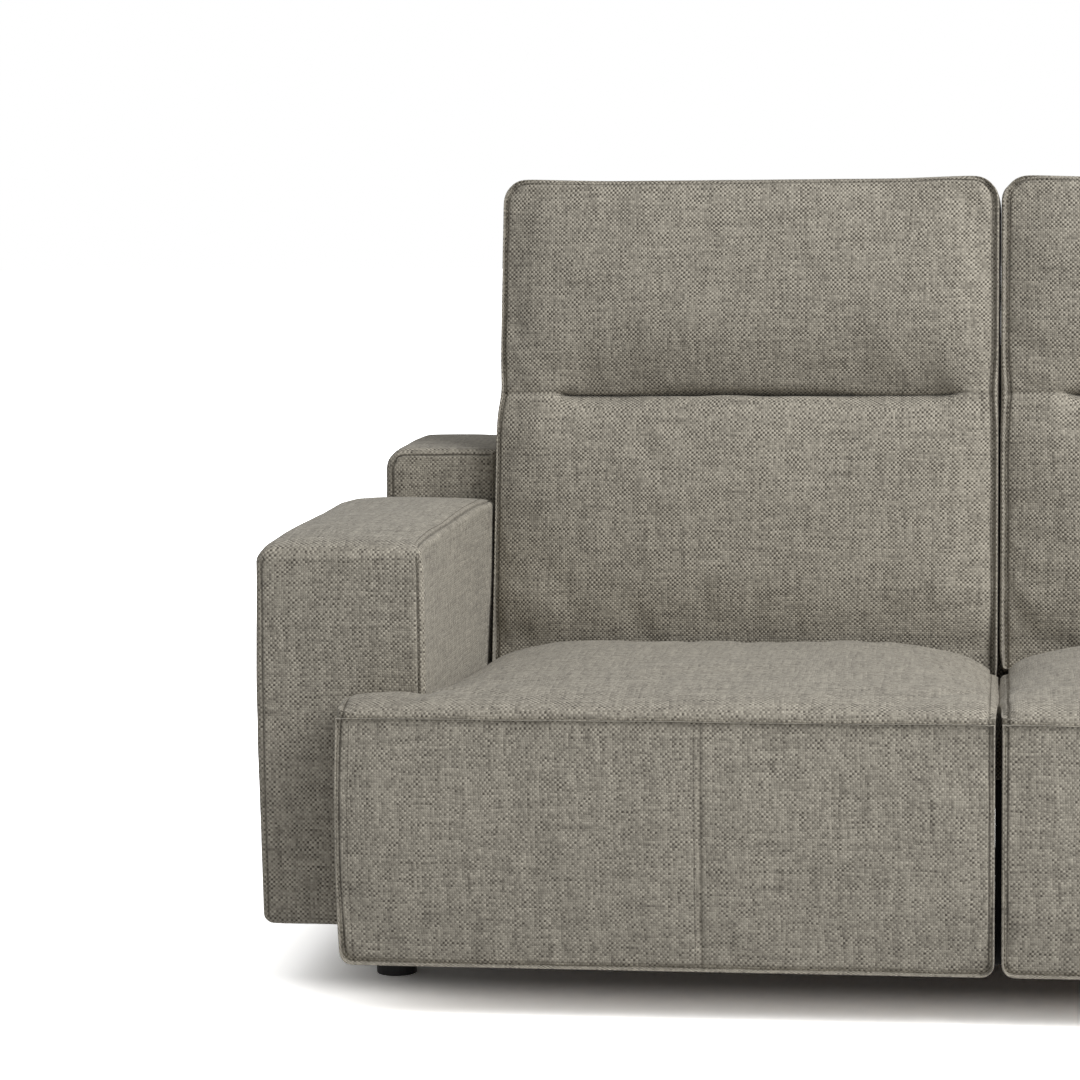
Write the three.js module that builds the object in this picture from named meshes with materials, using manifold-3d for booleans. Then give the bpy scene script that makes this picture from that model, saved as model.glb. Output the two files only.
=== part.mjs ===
// A three-seat reclining sofa. Each end seat has a motor footrest, a reclining back that glides forward as it
// leans, and a tilting headrest. The back of the middle seat folds down into a console with two cup holders.
// Millimetres, +Z up, -Y is the front. The origin is on the floor, under the middle of the sofa.
import * as THREE from "three";
import { mergeVertices } from "three/addons/utils/BufferGeometryUtils.js";
import Module from "manifold-3d";

const wasm = await Module();
wasm.setup();

// Clearances: between parts that touch, between neighbouring seats, and past a face for a cut.
const fit = { touch: 0.3, module: 4, overrun: 5, weld: 1, merge: 0.001 };

const leanDegrees = 12;
const lean = THREE.MathUtils.degToRad(leanDegrees);

const endSeat = { width: 710, depth: 572 };
const middleSeat = { width: 610 };

const arm = { width: 205, setback: 113, height: 467, round: 14, crown: 8, bulge: 5 };
const wing = { inset: 52, height: 532, depth: 260, round: 24, crown: 8, gap: 3 };
const rearPanel = { thickness: 45, round: 12 };
const foot = { height: 108, topRadius: 30, bottomRadius: 26, inset: 66, fromFront: 148, fromBack: 60 };
const middleFoot = { inset: 15 };

const crossTube = { size: 30, wall: 3, floorGap: 130, front: 325, rear: 760 };
const rail = { width: 20, height: 30, front: 135 };
const sidePlate = { thickness: 18, height: 110, outset: 9, front: 91, behindPivot: 20 };
const deck = { thickness: 12, rearGap: 37, window: [150, 120], windowGap: 40, round: 20 };
const rearRail = { thickness: 18 };

// A cushion's side edge and the crown over its middle are each given at the front, half way and at the rear.
const cushion = { front: 90, lipRise: 76, lipThickness: 20, edgeMiddle: 61, edgeRear: 44, sideDraw: 12 };
const crown = { power: 3, front: 6, middle: 56, rear: 43, reachShare: 0.99, drawPower: 12 };

const pad = { height: 302, thickness: 62, ear: 83, round: 12, bulge: 4, gap: 4 };
const board = { thickness: 15, inset: 18, bracket: 6, bracketHeight: 46, bracketReach: 29 };
const link = { width: 22, thickness: 6, gap: 2, rear: 190, front: 190, pivotBack: 145, pivotDrop: 45 };
const panelPivot = { behind: 95, drop: 174 };
const pin = { radius: 5, clearance: 0.8, head: 2 };
const linkTube = { radius: 9, rearShare: 0.55, frontShare: 0.5 };

const back = { front: 96, rear: 70, gap: 6, bottom: 35, crease: 420, top: 733, bulge: 12, pivotDrop: 10 };
const backFrame = { thickness: 18, inset: 11, ear: 6, earRadius: 18, windows: [170, 110] };
const backPin = { radius: 8, clearance: 1 };
const creaseFold = { depth: 46, gap: 4, lowerDrop: 8, upperRise: 11 };
const headrestPin = { radius: 4, clearance: 0.6, inFromEdge: 105, behind: 50 };
const headrestEars = { radius: 12, thickness: 6, gap: 2, slope: 15, margin: 4 };

const actuator = { housing: [74, 84, 58], motorRadius: 22, motorLength: 66, rail: [34, 160, 20] };
const driveBlock = { width: 46, length: 40, height: 30, wall: 5, start: 12 };

const recliningRoom = 85;
const consoleBack = { front: 96, cushion: 50, rear: 24, bottom: 53, pivotY: 70, pivotZ: 164 };
const consoleTray = { bottom: 84, top: 714, inset: 24, tail: 16, edge: 14, skin: 16, rib: 12 };
const cup = { radius: 42, wall: 2, depth: 60, spacing: 190, height: 430, clearance: 0.6 };
const cupLip = { width: 5, height: 1.5 };
const usb = { size: [92, 9, 34], height: 560, port: [14, 6, 6], portSpacing: 34 };
const shell = { wall: 14.6, pad: 29, padBottom: 285, inset: 1 };
const shellEar = { thickness: 8, across: 300, radius: 16, rise: 27 };
const hingeTube = { radius: 8, clearance: 1, bracket: 8, reach: 20 };

const switchPlate = { size: [4, 66, 98], fromFront: 120, drop: 120 };
const rocker = { size: [9, 20, 56], spacing: 28, proud: 3, clearance: 1, pinRadius: 2 };
const inlet = { radius: 11, flange: 17, flangeThickness: 3, depth: 14, bore: 7, pinRadius: 1.5, height: 90 };

// Places worked out from the sizes.
const railTop = crossTube.floorGap + crossTube.size + rail.height;
const plateBottom = railTop + fit.touch;
const deckTop = plateBottom + sidePlate.height;
const cushionBottom = deckTop + fit.touch;
const lipBottom = cushionBottom + cushion.lipRise;
const padTop = lipBottom - pad.gap;
const padBottom = padTop - pad.height;
const armTop = foot.height + arm.height;
const wingTop = foot.height + wing.height;
const pivotZ = deckTop - back.pivotDrop;
const pivotFromSeat =
  (pivotZ - cushionBottom) * Math.tan(lean) + (back.gap + back.front) / Math.cos(lean);
const rearPanelFront =
  endSeat.depth +
  pivotFromSeat +
  back.rear / Math.cos(lean) +
  (wingTop - pivotZ) * Math.tan(lean) +
  recliningRoom;
const depth = rearPanelFront + rearPanel.thickness + inlet.flangeThickness;
const frontY = -depth / 2;
const rearY = depth / 2;
const rearPanelBack = rearY - inlet.flangeThickness;
const seatRearY = frontY + endSeat.depth;
const pivotY = seatRearY + pivotFromSeat;
const armFrontY = frontY + arm.setback;
const wingFrontY = rearY - wing.depth;
const armInnerX = middleSeat.width / 2 + endSeat.width;
const armOuterX = armInnerX + arm.width;
const switchY = armFrontY + switchPlate.fromFront;
const switchZ = armTop - switchPlate.drop;
const seatCentreX = (middleSeat.width + endSeat.width) / 2;
const halfSeat = endSeat.width / 2 - fit.module;
const halfMiddle = middleSeat.width / 2 - fit.module;
const plateOuterX = halfSeat - sidePlate.outset - rail.width / 2 + sidePlate.thickness / 2;
const plateInnerX = plateOuterX - sidePlate.thickness;
const railX = plateOuterX - sidePlate.thickness / 2;

const material = (name, color, roughness, metalness = 0) =>
  Object.assign(new THREE.MeshStandardMaterial({ color, roughness, metalness }), { name });
const fabric = material("fabric", 0x8b857a, 0.95);
const steel = material("steel", 0x3a3c3e, 0.5, 0.8);
const plywood = material("plywood", 0xb89468, 0.8);
const blackPlastic = material("blackPlastic", 0x161616, 0.6);
const trayPlastic = material("trayPlastic", 0x26241f, 0.45);
const cupSteel = material("cupSteel", 0x9a9a98, 0.3, 0.9);

// A closed geometry as a solid that can be joined and cut.
function solid(geometry) {
  const bare = geometry.index ? geometry.toNonIndexed() : geometry.clone();
  bare.deleteAttribute("normal");
  bare.deleteAttribute("uv");
  const merged = mergeVertices(bare, fit.merge);
  const triVerts = new Uint32Array(merged.index.array);
  return new wasm.Manifold(
    new wasm.Mesh({ numProp: 3, vertProperties: merged.attributes.position.array, triVerts }),
  );
}

function geometryOf(body) {
  const mesh = body.getMesh();
  const points = new Float32Array(mesh.numVert * 3);
  for (let i = 0; i < mesh.numVert; i++)
    points.set(mesh.vertProperties.subarray(i * mesh.numProp, i * mesh.numProp + 3), i * 3);
  return new THREE.BufferGeometry()
    .setAttribute("position", new THREE.BufferAttribute(points, 3))
    .setIndex(new THREE.BufferAttribute(mesh.triVerts, 1));
}

const join = (first, ...others) => others.reduce((made, other) => made.add(other), first);
const cut = (first, ...others) => others.reduce((made, other) => made.subtract(other), first);

function piece(name, body, look) {
  const geometry = geometryOf(body);
  geometry.computeVertexNormals();
  const mesh = new THREE.Mesh(geometry, look);
  mesh.name = name;
  return mesh;
}

function box([x0, x1], [y0, y1], [z0, z1]) {
  const geometry = new THREE.BoxGeometry(x1 - x0, y1 - y0, z1 - z0);
  return solid(geometry.translate((x0 + x1) / 2, (y0 + y1) / 2, (z0 + z1) / 2));
}

const axisX = new THREE.Vector3(1, 0, 0);
const axisY = new THREE.Vector3(0, 1, 0);
const axisZ = new THREE.Vector3(0, 0, 1);

// A shape drawn in the side view, extruded along +X.
function alongX(shape, fromX, toX, curveSegments) {
  const geometry = new THREE.ExtrudeGeometry(shape, {
    depth: toX - fromX,
    bevelEnabled: false,
    curveSegments,
  });
  geometry.applyMatrix4(new THREE.Matrix4().makeBasis(axisY, axisZ, axisX));
  return solid(geometry.translate(fromX, 0, 0));
}

function roundBar(radius, fromX, toX, [y, z], sides = 10) {
  const geometry = new THREE.CylinderGeometry(radius, radius, toX - fromX, sides);
  geometry.rotateZ(Math.PI / 2);
  return solid(geometry.translate((fromX + toX) / 2, y, z));
}

// A flat bar with round ends and a hole at each end that has a radius, in the side view.
function strap([y0, z0], [y1, z1], width, holes) {
  const turn = Math.atan2(z1 - z0, y1 - y0);
  const shape = new THREE.Shape();
  shape.absarc(y1, z1, width / 2, turn - Math.PI / 2, turn + Math.PI / 2);
  shape.absarc(y0, z0, width / 2, turn + Math.PI / 2, turn + 1.5 * Math.PI);
  shape.closePath();
  for (const [y, z, radius] of holes)
    shape.holes.push(new THREE.Path().absarc(y, z, radius, 0, 2 * Math.PI, true));
  return shape;
}

function roundedRectangle(width, height, radius) {
  const x = width / 2 - radius;
  const y = height / 2 - radius;
  const shape = new THREE.Shape();
  shape.absarc(x, y, radius, 0, Math.PI / 2);
  shape.absarc(-x, y, radius, Math.PI / 2, Math.PI);
  shape.absarc(-x, -y, radius, Math.PI, 1.5 * Math.PI);
  shape.absarc(x, -y, radius, 1.5 * Math.PI, 2 * Math.PI);
  shape.closePath();
  return shape;
}

// Where the rows of points lie along one side of a padded block, from -1 to 1: one at each end of both
// rounded edges, and an even spread between them.
function rowPlaces(length, round, cells) {
  const inner = 1 - (2 * round) / length;
  const places = [-1];
  for (let i = 0; i <= cells; i++) places.push(-inner + (2 * inner * i) / cells);
  return [...places, 1];
}

// A block with rounded edges, centred on the origin. swell moves each point by its place in the block, which
// it gets as three shares from -1 to 1.
function paddedBlock(size, round, cells, swell) {
  const places = size.map((length, axis) => rowPlaces(length, round, cells[axis]));
  const counts = places.map((list) => list.length - 1);
  const geometry = new THREE.BoxGeometry(1, 1, 1, ...counts);
  const position = geometry.attributes.position;
  const share = new THREE.Vector3();
  const inner = new THREE.Vector3();
  const point = new THREE.Vector3();
  for (let i = 0; i < position.count; i++) {
    point.fromBufferAttribute(position, i);
    for (let axis = 0; axis < 3; axis++) {
      const row = Math.round((point.getComponent(axis) + 0.5) * counts[axis]);
      const half = size[axis] / 2;
      share.setComponent(axis, places[axis][row]);
      point.setComponent(axis, places[axis][row] * half);
      const limit = half - round;
      inner.setComponent(axis, THREE.MathUtils.clamp(point.getComponent(axis), -limit, limit));
    }
    point.sub(inner).setLength(round).add(inner);
    swell(point, share);
    position.setXYZ(i, point.x, point.y, point.z);
  }
  return solid(geometry);
}

// How full a padded face is at a place on it, from 0 at its edges to 1 in the middle.
const full = (u, v) => (1 - Math.abs(u) ** crown.power) * (1 - Math.abs(v) ** crown.power);

// A closed skin through rings of [y, z] points that follow each other along X, with flat ends.
function loft(places, ringAt) {
  const rings = places.map((x) => ringAt(x));
  const count = rings[0].length;
  const points = rings.flatMap((ring, i) => ring.flatMap(([y, z]) => [places[i], y, z]));
  const faces = [];
  for (let i = 0; i + 1 < rings.length; i++)
    for (let j = 0; j < count; j++) {
      const a = i * count + j;
      const b = i * count + ((j + 1) % count);
      faces.push(a, b, b + count, a, b + count, a + count);
    }
  for (const [ring, start, outward] of [
    [rings[0], 0, -1],
    [rings.at(-1), (rings.length - 1) * count, 1],
  ]) {
    const outline = ring.map(([y, z]) => new THREE.Vector2(y, z));
    for (const [a, b, c] of THREE.ShapeUtils.triangulateShape(outline, [])) {
      const turn = THREE.ShapeUtils.area([outline[a], outline[b], outline[c]]);
      faces.push(...(turn * outward > 0 ? [a, b, c] : [a, c, b]).map((n) => n + start));
    }
  }
  const geometry = new THREE.BufferGeometry();
  geometry.setAttribute("position", new THREE.Float32BufferAttribute(points, 3));
  return solid(geometry.setIndex(faces));
}

// Places across a cushion, from one side to the other, with the rounded ends close together.
const stationShares = [-1, -0.985, -0.94, -0.8, -0.55, -0.2, 0.2, 0.55, 0.8, 0.94, 0.985, 1];
const across = (half) => stationShares.map((share) => share * half);

// How much of the crown is left at a place across a cushion, and how far its side draws in there. A little of
// the crown is left at the very ends, so that no three points of an end ring lie in one line.
function sideOf(half, x) {
  const u = Math.abs(x / half) * crown.reachShare;
  return { side: 1 - u ** crown.power, draw: cushion.sideDraw * u ** crown.drawPower };
}

// A smooth curve of heights from first to last that middle pulls towards itself.
const bend = (first, middle, last, share) =>
  first * (1 - share) ** 2 + 2 * middle * share * (1 - share) + last * share ** 2;

// The side view of a seat cushion at a place across it: its underside on the deck, the step behind the
// footrest, the lip over the footrest, the crowned top, and the rear face that leans with the back.
const topShares = [0.1, 0.35, 0.65, 0.9];
function seatRing(half, x) {
  const { side, draw } = sideOf(half, x);
  const stepY = frontY + cushion.front;
  const lipTop = lipBottom + cushion.lipThickness - draw / 2;
  const lipHeight = cushion.lipRise + cushion.lipThickness;
  const topAt = (share) => {
    const edge = bend(lipHeight, cushion.edgeMiddle, cushion.edgeRear, share);
    return cushionBottom + edge + side * bend(crown.front, crown.middle, crown.rear, share) - draw / 2;
  };
  const rearTop = topAt(1);
  const rearRound = cushion.lipThickness / 2;
  const rearTopY = seatRearY + (rearTop - rearRound - cushionBottom) * Math.tan(lean);
  const length = rearTopY - stepY;
  const top = topShares.map((share) => [stepY + length * share, topAt(share)]);
  return [
    [seatRearY - draw, cushionBottom],
    [rearTopY - draw, rearTop - rearRound],
    [rearTopY - draw - rearRound, rearTop],
    ...top.reverse(),
    [frontY + pad.round + draw / 2, lipTop],
    [frontY + pad.round / 3 + draw / 2, lipTop - pad.round / 3],
    [frontY + draw / 2, lipTop - pad.round],
    [frontY + draw / 2, lipBottom],
    [stepY, lipBottom],
    [stepY, cushionBottom],
  ];
}

function seatCushion(half, hasEar) {
  const body = loft(across(half), (x) => seatRing(half, x));
  if (!hasEar) return body;
  const earDepth = arm.setback - pad.gap;
  const width = pad.ear + cushion.sideDraw + fit.module;
  const ear = paddedBlock(
    [width, earDepth, cushion.lipThickness],
    cushion.lipThickness / 3,
    [2, 2, 1],
    (point) => point,
  );
  const earX = -half - pad.ear - fit.module + width / 2;
  return join(body, ear.translate(earX, frontY + earDepth / 2, lipBottom + cushion.lipThickness / 2));
}

// The upholstered front: the moving pad of a footrest, or the fixed front of the middle seat.
function frontPad(fromX, toX) {
  const width = toX - fromX;
  const body = paddedBlock([width, pad.thickness, pad.height], pad.round, [6, 1, 4], (point, share) => {
    if (share.y < 0) point.y += pad.bulge * (1 - full(share.x, share.z));
  });
  return body.translate((fromX + toX) / 2, frontY + pad.thickness / 2, padTop - pad.height / 2);
}

// The front outline of a back cushion in its own upright view, from the crease down or from the crease up.
const lowerFrontShares = [
  [0.18, 1],
  [0.45, 1],
  [0.7, 0.8],
  [0.8, 0.35],
  [0.92, 0.1],
];
function lowerOutline(front, side, draw, bottom = back.bottom) {
  const creaseY = -creaseFold.depth;
  const height = back.crease - bottom;
  const bulges = lowerFrontShares.map(([down, fullness]) => [
    -front - back.bulge * fullness * side + draw,
    back.crease - height * down,
  ]);
  return [
    [creaseY, back.crease],
    [(creaseY - front) / 2 + draw, back.crease - creaseFold.lowerDrop / 2],
    [-front + creaseFold.lowerDrop + draw, back.crease - 2 * creaseFold.lowerDrop],
    ...bulges,
    [-front + creaseFold.lowerDrop + draw, bottom + creaseFold.lowerDrop / 2],
    [-front + 2 * creaseFold.lowerDrop + draw, bottom],
  ];
}

const upperFrontShares = [
  [0.14, 0.7],
  [0.32, 1],
  [0.62, 0.9],
  [0.84, 0.5],
];
function upperOutline(front, side, draw) {
  const creaseY = -creaseFold.depth;
  const bottom = back.crease + creaseFold.gap;
  const height = back.top - bottom;
  const bulges = upperFrontShares.map(([up, fullness]) => [
    -front - back.bulge * fullness * side + draw,
    bottom + height * up,
  ]);
  return [
    [-2 * creaseFold.upperRise, back.top - draw / 2],
    [-front + 3 * creaseFold.upperRise, back.top - draw / 2],
    [-front + creaseFold.upperRise, back.top - 0.7 * creaseFold.upperRise - draw / 2],
    [-front + draw, back.top - 3 * creaseFold.upperRise],
    ...bulges.reverse(),
    [-front + creaseFold.upperRise / 2 + draw, bottom + 2 * creaseFold.upperRise],
    [(creaseY - front) / 2, bottom + creaseFold.upperRise],
    [creaseY, bottom],
  ];
}

// rear is the outline's points behind the front outline, which close it.
function backCushion(half, outline, front, rearPoints) {
  return loft(across(half), (x) => {
    const { side, draw } = sideOf(half, x);
    return [...rearPoints, ...outline(front, side, draw)];
  });
}

function paddedPanel([x0, x1], [y0, y1], [z0, z1], round, cells) {
  const body = paddedBlock([x1 - x0, y1 - y0, z1 - z0], round, cells, (point) => point);
  return body.translate((x0 + x1) / 2, (y0 + y1) / 2, (z0 + z1) / 2);
}

// Rows of windows through a board that stands in the XZ plane or lies in the XY plane.
function windowCuts(sizeX, sizeUp, places, thickness, lying) {
  const geometry = new THREE.ExtrudeGeometry(roundedRectangle(sizeX, sizeUp, deck.round), {
    depth: thickness + 2 * fit.overrun,
    bevelEnabled: false,
    curveSegments: 2,
  });
  geometry.translate(0, 0, -fit.overrun);
  if (!lying) geometry.rotateX(Math.PI / 2).translate(0, thickness, 0);
  return places.map(([x, y, z]) => solid(geometry.clone().translate(x, y, z)));
}

// The pivots of the footrest linkage, in the side view. The middle one is where the two links' circles meet.
const framePivot = [frontY + link.pivotBack, deckTop - link.pivotDrop];
const boardPivot = [frontY + panelPivot.behind, padTop - panelPivot.drop];
function elbowOf([y0, z0], [y1, z1]) {
  const span = Math.hypot(y1 - y0, z1 - z0);
  const along = (link.rear ** 2 - link.front ** 2 + span ** 2) / (2 * span);
  const off = Math.sqrt(link.rear ** 2 - along ** 2);
  const [uy, uz] = [(y1 - y0) / span, (z1 - z0) / span];
  return [y0 + uy * along - uz * off, z0 + uz * along + uy * off];
}
const elbow = elbowOf(framePivot, boardPivot);
const rearLinkX = plateInnerX - pin.head - link.gap - link.thickness;
const frontLinkX = rearLinkX - link.gap - link.thickness;
const bracketX = frontLinkX - link.gap - board.bracket;
const pinHole = pin.radius + pin.clearance;
const bothSides = (make) => [-1, 1].map((side) => make(side));
const spanX = (side, inner, outer) => (side > 0 ? [inner, outer] : [-outer, -inner]);

// Two flat links, one at each side, welded to a tube between them. They turn about one end and carry pins at
// the other.
function linkPair(from, to, x, tubeShare) {
  const shape = strap(from, to, link.width, [[...from, pinHole]]);
  const bars = bothSides((side) => alongX(shape, ...spanX(side, x, x + link.thickness), 4));
  const pins = bothSides((side) => {
    const reach = link.gap + link.thickness + fit.weld;
    return roundBar(pin.radius, ...spanX(side, x - reach, x + fit.weld), to);
  });
  const tubeAt = [0, 1].map((axis) => THREE.MathUtils.lerp(from[axis], to[axis], tubeShare));
  return join(roundBar(linkTube.radius, -x - fit.weld, x + fit.weld, tubeAt), ...bars, ...pins);
}

function seatFrame() {
  const plateFront = frontY + sidePlate.front;
  const plateRear = pivotY + sidePlate.behindPivot;
  const rearRailY = seatRearY - deck.rearGap;
  const plates = bothSides((side) =>
    box(spanX(side, plateInnerX, plateOuterX), [plateFront, plateRear], [plateBottom, deckTop]),
  );
  const top = box(
    [-plateOuterX, plateOuterX],
    [plateFront, rearRailY + rearRail.thickness],
    [deckTop - deck.thickness, deckTop],
  );
  const crossRail = box(
    [-plateInnerX - fit.weld, plateInnerX + fit.weld],
    [rearRailY, rearRailY + rearRail.thickness],
    [plateBottom + rail.height, deckTop],
  );
  const pitchX = deck.window[0] + deck.windowGap;
  const pitchY = deck.window[1] + deck.windowGap;
  const middleY = (plateFront + rearRailY) / 2;
  const places = [-1, 0, 1].flatMap((i) =>
    [-0.5, 0.5].map((j) => [i * pitchX, middleY + j * pitchY, deckTop - deck.thickness]),
  );
  const windows = windowCuts(...deck.window, places, deck.thickness, true);
  const pins = bothSides((side) => {
    const inner = rearLinkX - pin.head;
    return roundBar(pin.radius, ...spanX(side, inner, plateInnerX + fit.weld), framePivot);
  });
  const backPins = bothSides((side) => {
    const inner = plateInnerX - backFrame.ear - 2 * link.gap - pin.head;
    return roundBar(backPin.radius, ...spanX(side, inner, plateInnerX + fit.weld), [pivotY, pivotZ]);
  });
  return join(cut(top, ...windows), crossRail, ...plates, ...pins, ...backPins);
}

function footrestBoard(fromX, toX) {
  const frontFace = frontY + pad.thickness + fit.touch;
  const rearFace = frontFace + board.thickness;
  const plank = box(
    [fromX + board.inset, toX - board.inset],
    [frontFace, rearFace],
    [padBottom + board.inset, padTop - board.inset],
  );
  const brackets = bothSides((side) => {
    const [y, z] = boardPivot;
    const plate = box(
      spanX(side, bracketX, bracketX + board.bracket),
      [rearFace - fit.weld, rearFace + board.bracketReach],
      [z - board.bracketHeight / 2, z + board.bracketHeight / 2],
    );
    return cut(plate, roundBar(pinHole, -halfSeat, halfSeat, [y, z], 12));
  });
  return join(plank, ...brackets);
}

const railY = seatRearY - deck.rearGap - actuator.housing[1];
const actuatorZ = deckTop - deck.thickness - fit.touch - actuator.housing[2] / 2;

// The footrest's linear actuator: gear housing, motor beside it and the channel that its block runs along.
function footrestActuator() {
  const [width, length, height] = actuator.housing;
  const [railWidth, railLength, railHeight] = actuator.rail;
  const housing = paddedPanel(
    [-width / 2, width / 2],
    [railY + fit.touch, railY + length - fit.touch],
    [actuatorZ - height / 2, actuatorZ + height / 2 - fit.touch],
    pin.radius,
    [1, 1, 1],
  );
  const motor = new THREE.CylinderGeometry(
    actuator.motorRadius,
    actuator.motorRadius,
    actuator.motorLength,
    16,
  );
  motor.rotateZ(Math.PI / 2);
  motor.translate((width + actuator.motorLength) / 2 - fit.weld, railY + length / 2, actuatorZ);
  const channel = cut(
    box(
      [-railWidth / 2, railWidth / 2],
      [railY - railLength, railY + fit.weld + fit.touch],
      [actuatorZ - railHeight / 2, actuatorZ + railHeight / 2],
    ),
    box(
      [-railWidth / 2 + driveBlock.wall, railWidth / 2 - driveBlock.wall],
      [railY - railLength - fit.overrun, railY - driveBlock.wall],
      [actuatorZ - railHeight / 2 - fit.overrun, actuatorZ + railHeight / 2 - driveBlock.wall],
    ),
  );
  return join(housing, solid(motor), channel);
}

function driveBlockBody() {
  const [railWidth, , railHeight] = actuator.rail;
  const fromY = railY - driveBlock.start - driveBlock.length;
  const bottom = actuatorZ - driveBlock.height / 2;
  const outer = box(
    [-driveBlock.width / 2, driveBlock.width / 2],
    [fromY, fromY + driveBlock.length],
    [bottom, bottom + driveBlock.height],
  );
  const runs = box(
    [-railWidth / 2 - fit.touch, railWidth / 2 + fit.touch],
    [fromY - fit.overrun, fromY + driveBlock.length + fit.overrun],
    [actuatorZ - railHeight / 2 - fit.touch, actuatorZ + railHeight / 2 + fit.touch],
  );
  return cut(outer, runs);
}

const headPinX = halfSeat - headrestPin.inFromEdge;
const headPinAt = [-headrestPin.behind, back.crease + creaseFold.gap / 2];
const headHole = headrestPin.radius + headrestPin.clearance;

// The pocket that each headrest hinge turns in, cut from the cushions above and below the crease.
function hingePockets() {
  const { radius, thickness, gap, slope, margin } = headrestEars;
  const outer = headPinX + 2 * thickness + gap + margin;
  const reach = slope + radius + margin;
  return bothSides((side) =>
    box(
      spanX(side, headPinX - margin, outer),
      [headPinAt[0] - radius - margin, fit.overrun],
      [headPinAt[1] - reach, headPinAt[1] + reach],
    ),
  );
}

function backBoard() {
  const half = halfSeat - backFrame.inset;
  const top = back.crease - creaseFold.gap;
  const plank = box([-half, half], [fit.touch, backFrame.thickness], [back.bottom, top]);
  const [windowX, windowZ] = backFrame.windows;
  const pitchX = windowX + deck.windowGap;
  const pitchZ = windowZ + deck.windowGap;
  const middle = (back.bottom + top) / 2;
  const places = [-1, 0, 1].flatMap((i) => [-0.5, 0.5].map((j) => [i * pitchX, 0, middle + j * pitchZ]));
  const windows = windowCuts(windowX, windowZ, places, backFrame.thickness, false);
  const earX = plateInnerX - link.gap - backFrame.ear;
  const ear = new THREE.Shape();
  ear.moveTo(backFrame.thickness, back.bottom + fit.weld);
  ear.lineTo(fit.touch, back.bottom + fit.weld);
  ear.lineTo(fit.touch, back.bottom - fit.weld);
  ear.absarc(0, 0, backFrame.earRadius, Math.PI, 2 * Math.PI);
  ear.closePath();
  ear.holes.push(new THREE.Path().absarc(0, 0, backPin.radius + backPin.clearance, 0, 2 * Math.PI, true));
  const ears = bothSides((side) => alongX(ear, ...spanX(side, earX, earX + backFrame.ear), 5));
  const arms = bothSides((side) => headrestEar(side, headPinX, -1, []));
  const pins = bothSides((side) => {
    const reach = headPinX + 2 * headrestEars.thickness + headrestEars.gap + fit.weld;
    return roundBar(headrestPin.radius, ...spanX(side, headPinX + fit.weld, reach), headPinAt, 8);
  });
  return join(cut(plank, ...windows), ...ears, ...arms, ...pins);
}

// A hinge ear from the headrest's pin into the board above it or below it.
function headrestEar(side, x, up, holes) {
  const foot = [2 * fit.weld, headPinAt[1] + up * headrestEars.slope];
  const shape = strap(headPinAt, foot, 2 * headrestEars.radius, holes);
  return alongX(shape, ...spanX(side, x, x + headrestEars.thickness), 4);
}

function headrestBoard() {
  const half = halfSeat - backFrame.inset;
  const bottom = back.crease + 2 * creaseFold.gap;
  const plank = box(
    [-half, half],
    [fit.touch, backFrame.thickness],
    [bottom, back.top - 3 * creaseFold.upperRise],
  );
  const x = headPinX + headrestEars.thickness + headrestEars.gap;
  const ears = bothSides((side) => headrestEar(side, x, 1, [[...headPinAt, headHole]]));
  return join(plank, ...ears);
}

// One end seat in the frame of its own middle, with the ear of its footrest towards -X. The right one is its
// mirror image.
function recliner(side) {
  const group = new THREE.Group();
  group.position.x = side * seatCentreX;
  group.scale.x = -side;
  const leaning = new THREE.Group();
  leaning.position.set(0, pivotY, pivotZ);
  leaning.rotation.x = -lean;
  group.add(leaning);
  const name = (what) => (side < 0 ? "left_" : "right_") + what;

  const padFrom = -endSeat.width / 2 - pad.ear;
  group.add(
    piece(name("seat_cushion"), seatCushion(halfSeat, true), fabric),
    piece(name("seat_frame"), seatFrame(), plywood),
    piece(name("footrest_actuator"), footrestActuator(), blackPlastic),
    piece(name("drive_block"), driveBlockBody(), steel),
    piece(name("rear_links"), linkPair(framePivot, elbow, rearLinkX, linkTube.rearShare), steel),
    piece(name("front_links"), linkPair(elbow, boardPivot, frontLinkX, linkTube.frontShare), steel),
    piece(name("footrest_board"), footrestBoard(padFrom, halfSeat), plywood),
    piece(name("footrest_pad"), frontPad(padFrom, halfSeat), fabric),
  );

  const upperRear = [
    [0, back.crease + creaseFold.gap],
    [0, back.top - 2 * creaseFold.upperRise],
    [backFrame.thickness, back.top - 2 * creaseFold.upperRise],
    [backFrame.thickness, back.top - creaseFold.upperRise / 3],
  ];
  const lowerRear = [
    [0, back.bottom],
    [0, back.crease],
  ];
  const pockets = hingePockets();
  const coverFrom = backFrame.thickness + fit.touch;
  const cover = (bottom, top) =>
    paddedPanel([-halfSeat, halfSeat], [coverFrom, back.rear], [bottom, top], rearPanel.round, [4, 1, 3]);
  leaning.add(
    piece(name("back_frame"), backBoard(), plywood),
    piece(
      name("back_cushion"),
      cut(backCushion(halfSeat, lowerOutline, back.front, lowerRear), ...pockets),
      fabric,
    ),
    piece(name("back_cover"), cover(back.bottom, back.crease), fabric),
    piece(name("headrest_frame"), headrestBoard(), plywood),
    piece(
      name("headrest_cushion"),
      cut(backCushion(halfSeat, upperOutline, back.front, upperRear), ...pockets),
      fabric,
    ),
    piece(name("headrest_cover"), cover(back.crease + creaseFold.gap, back.top), fabric),
  );
  return group;
}

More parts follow.
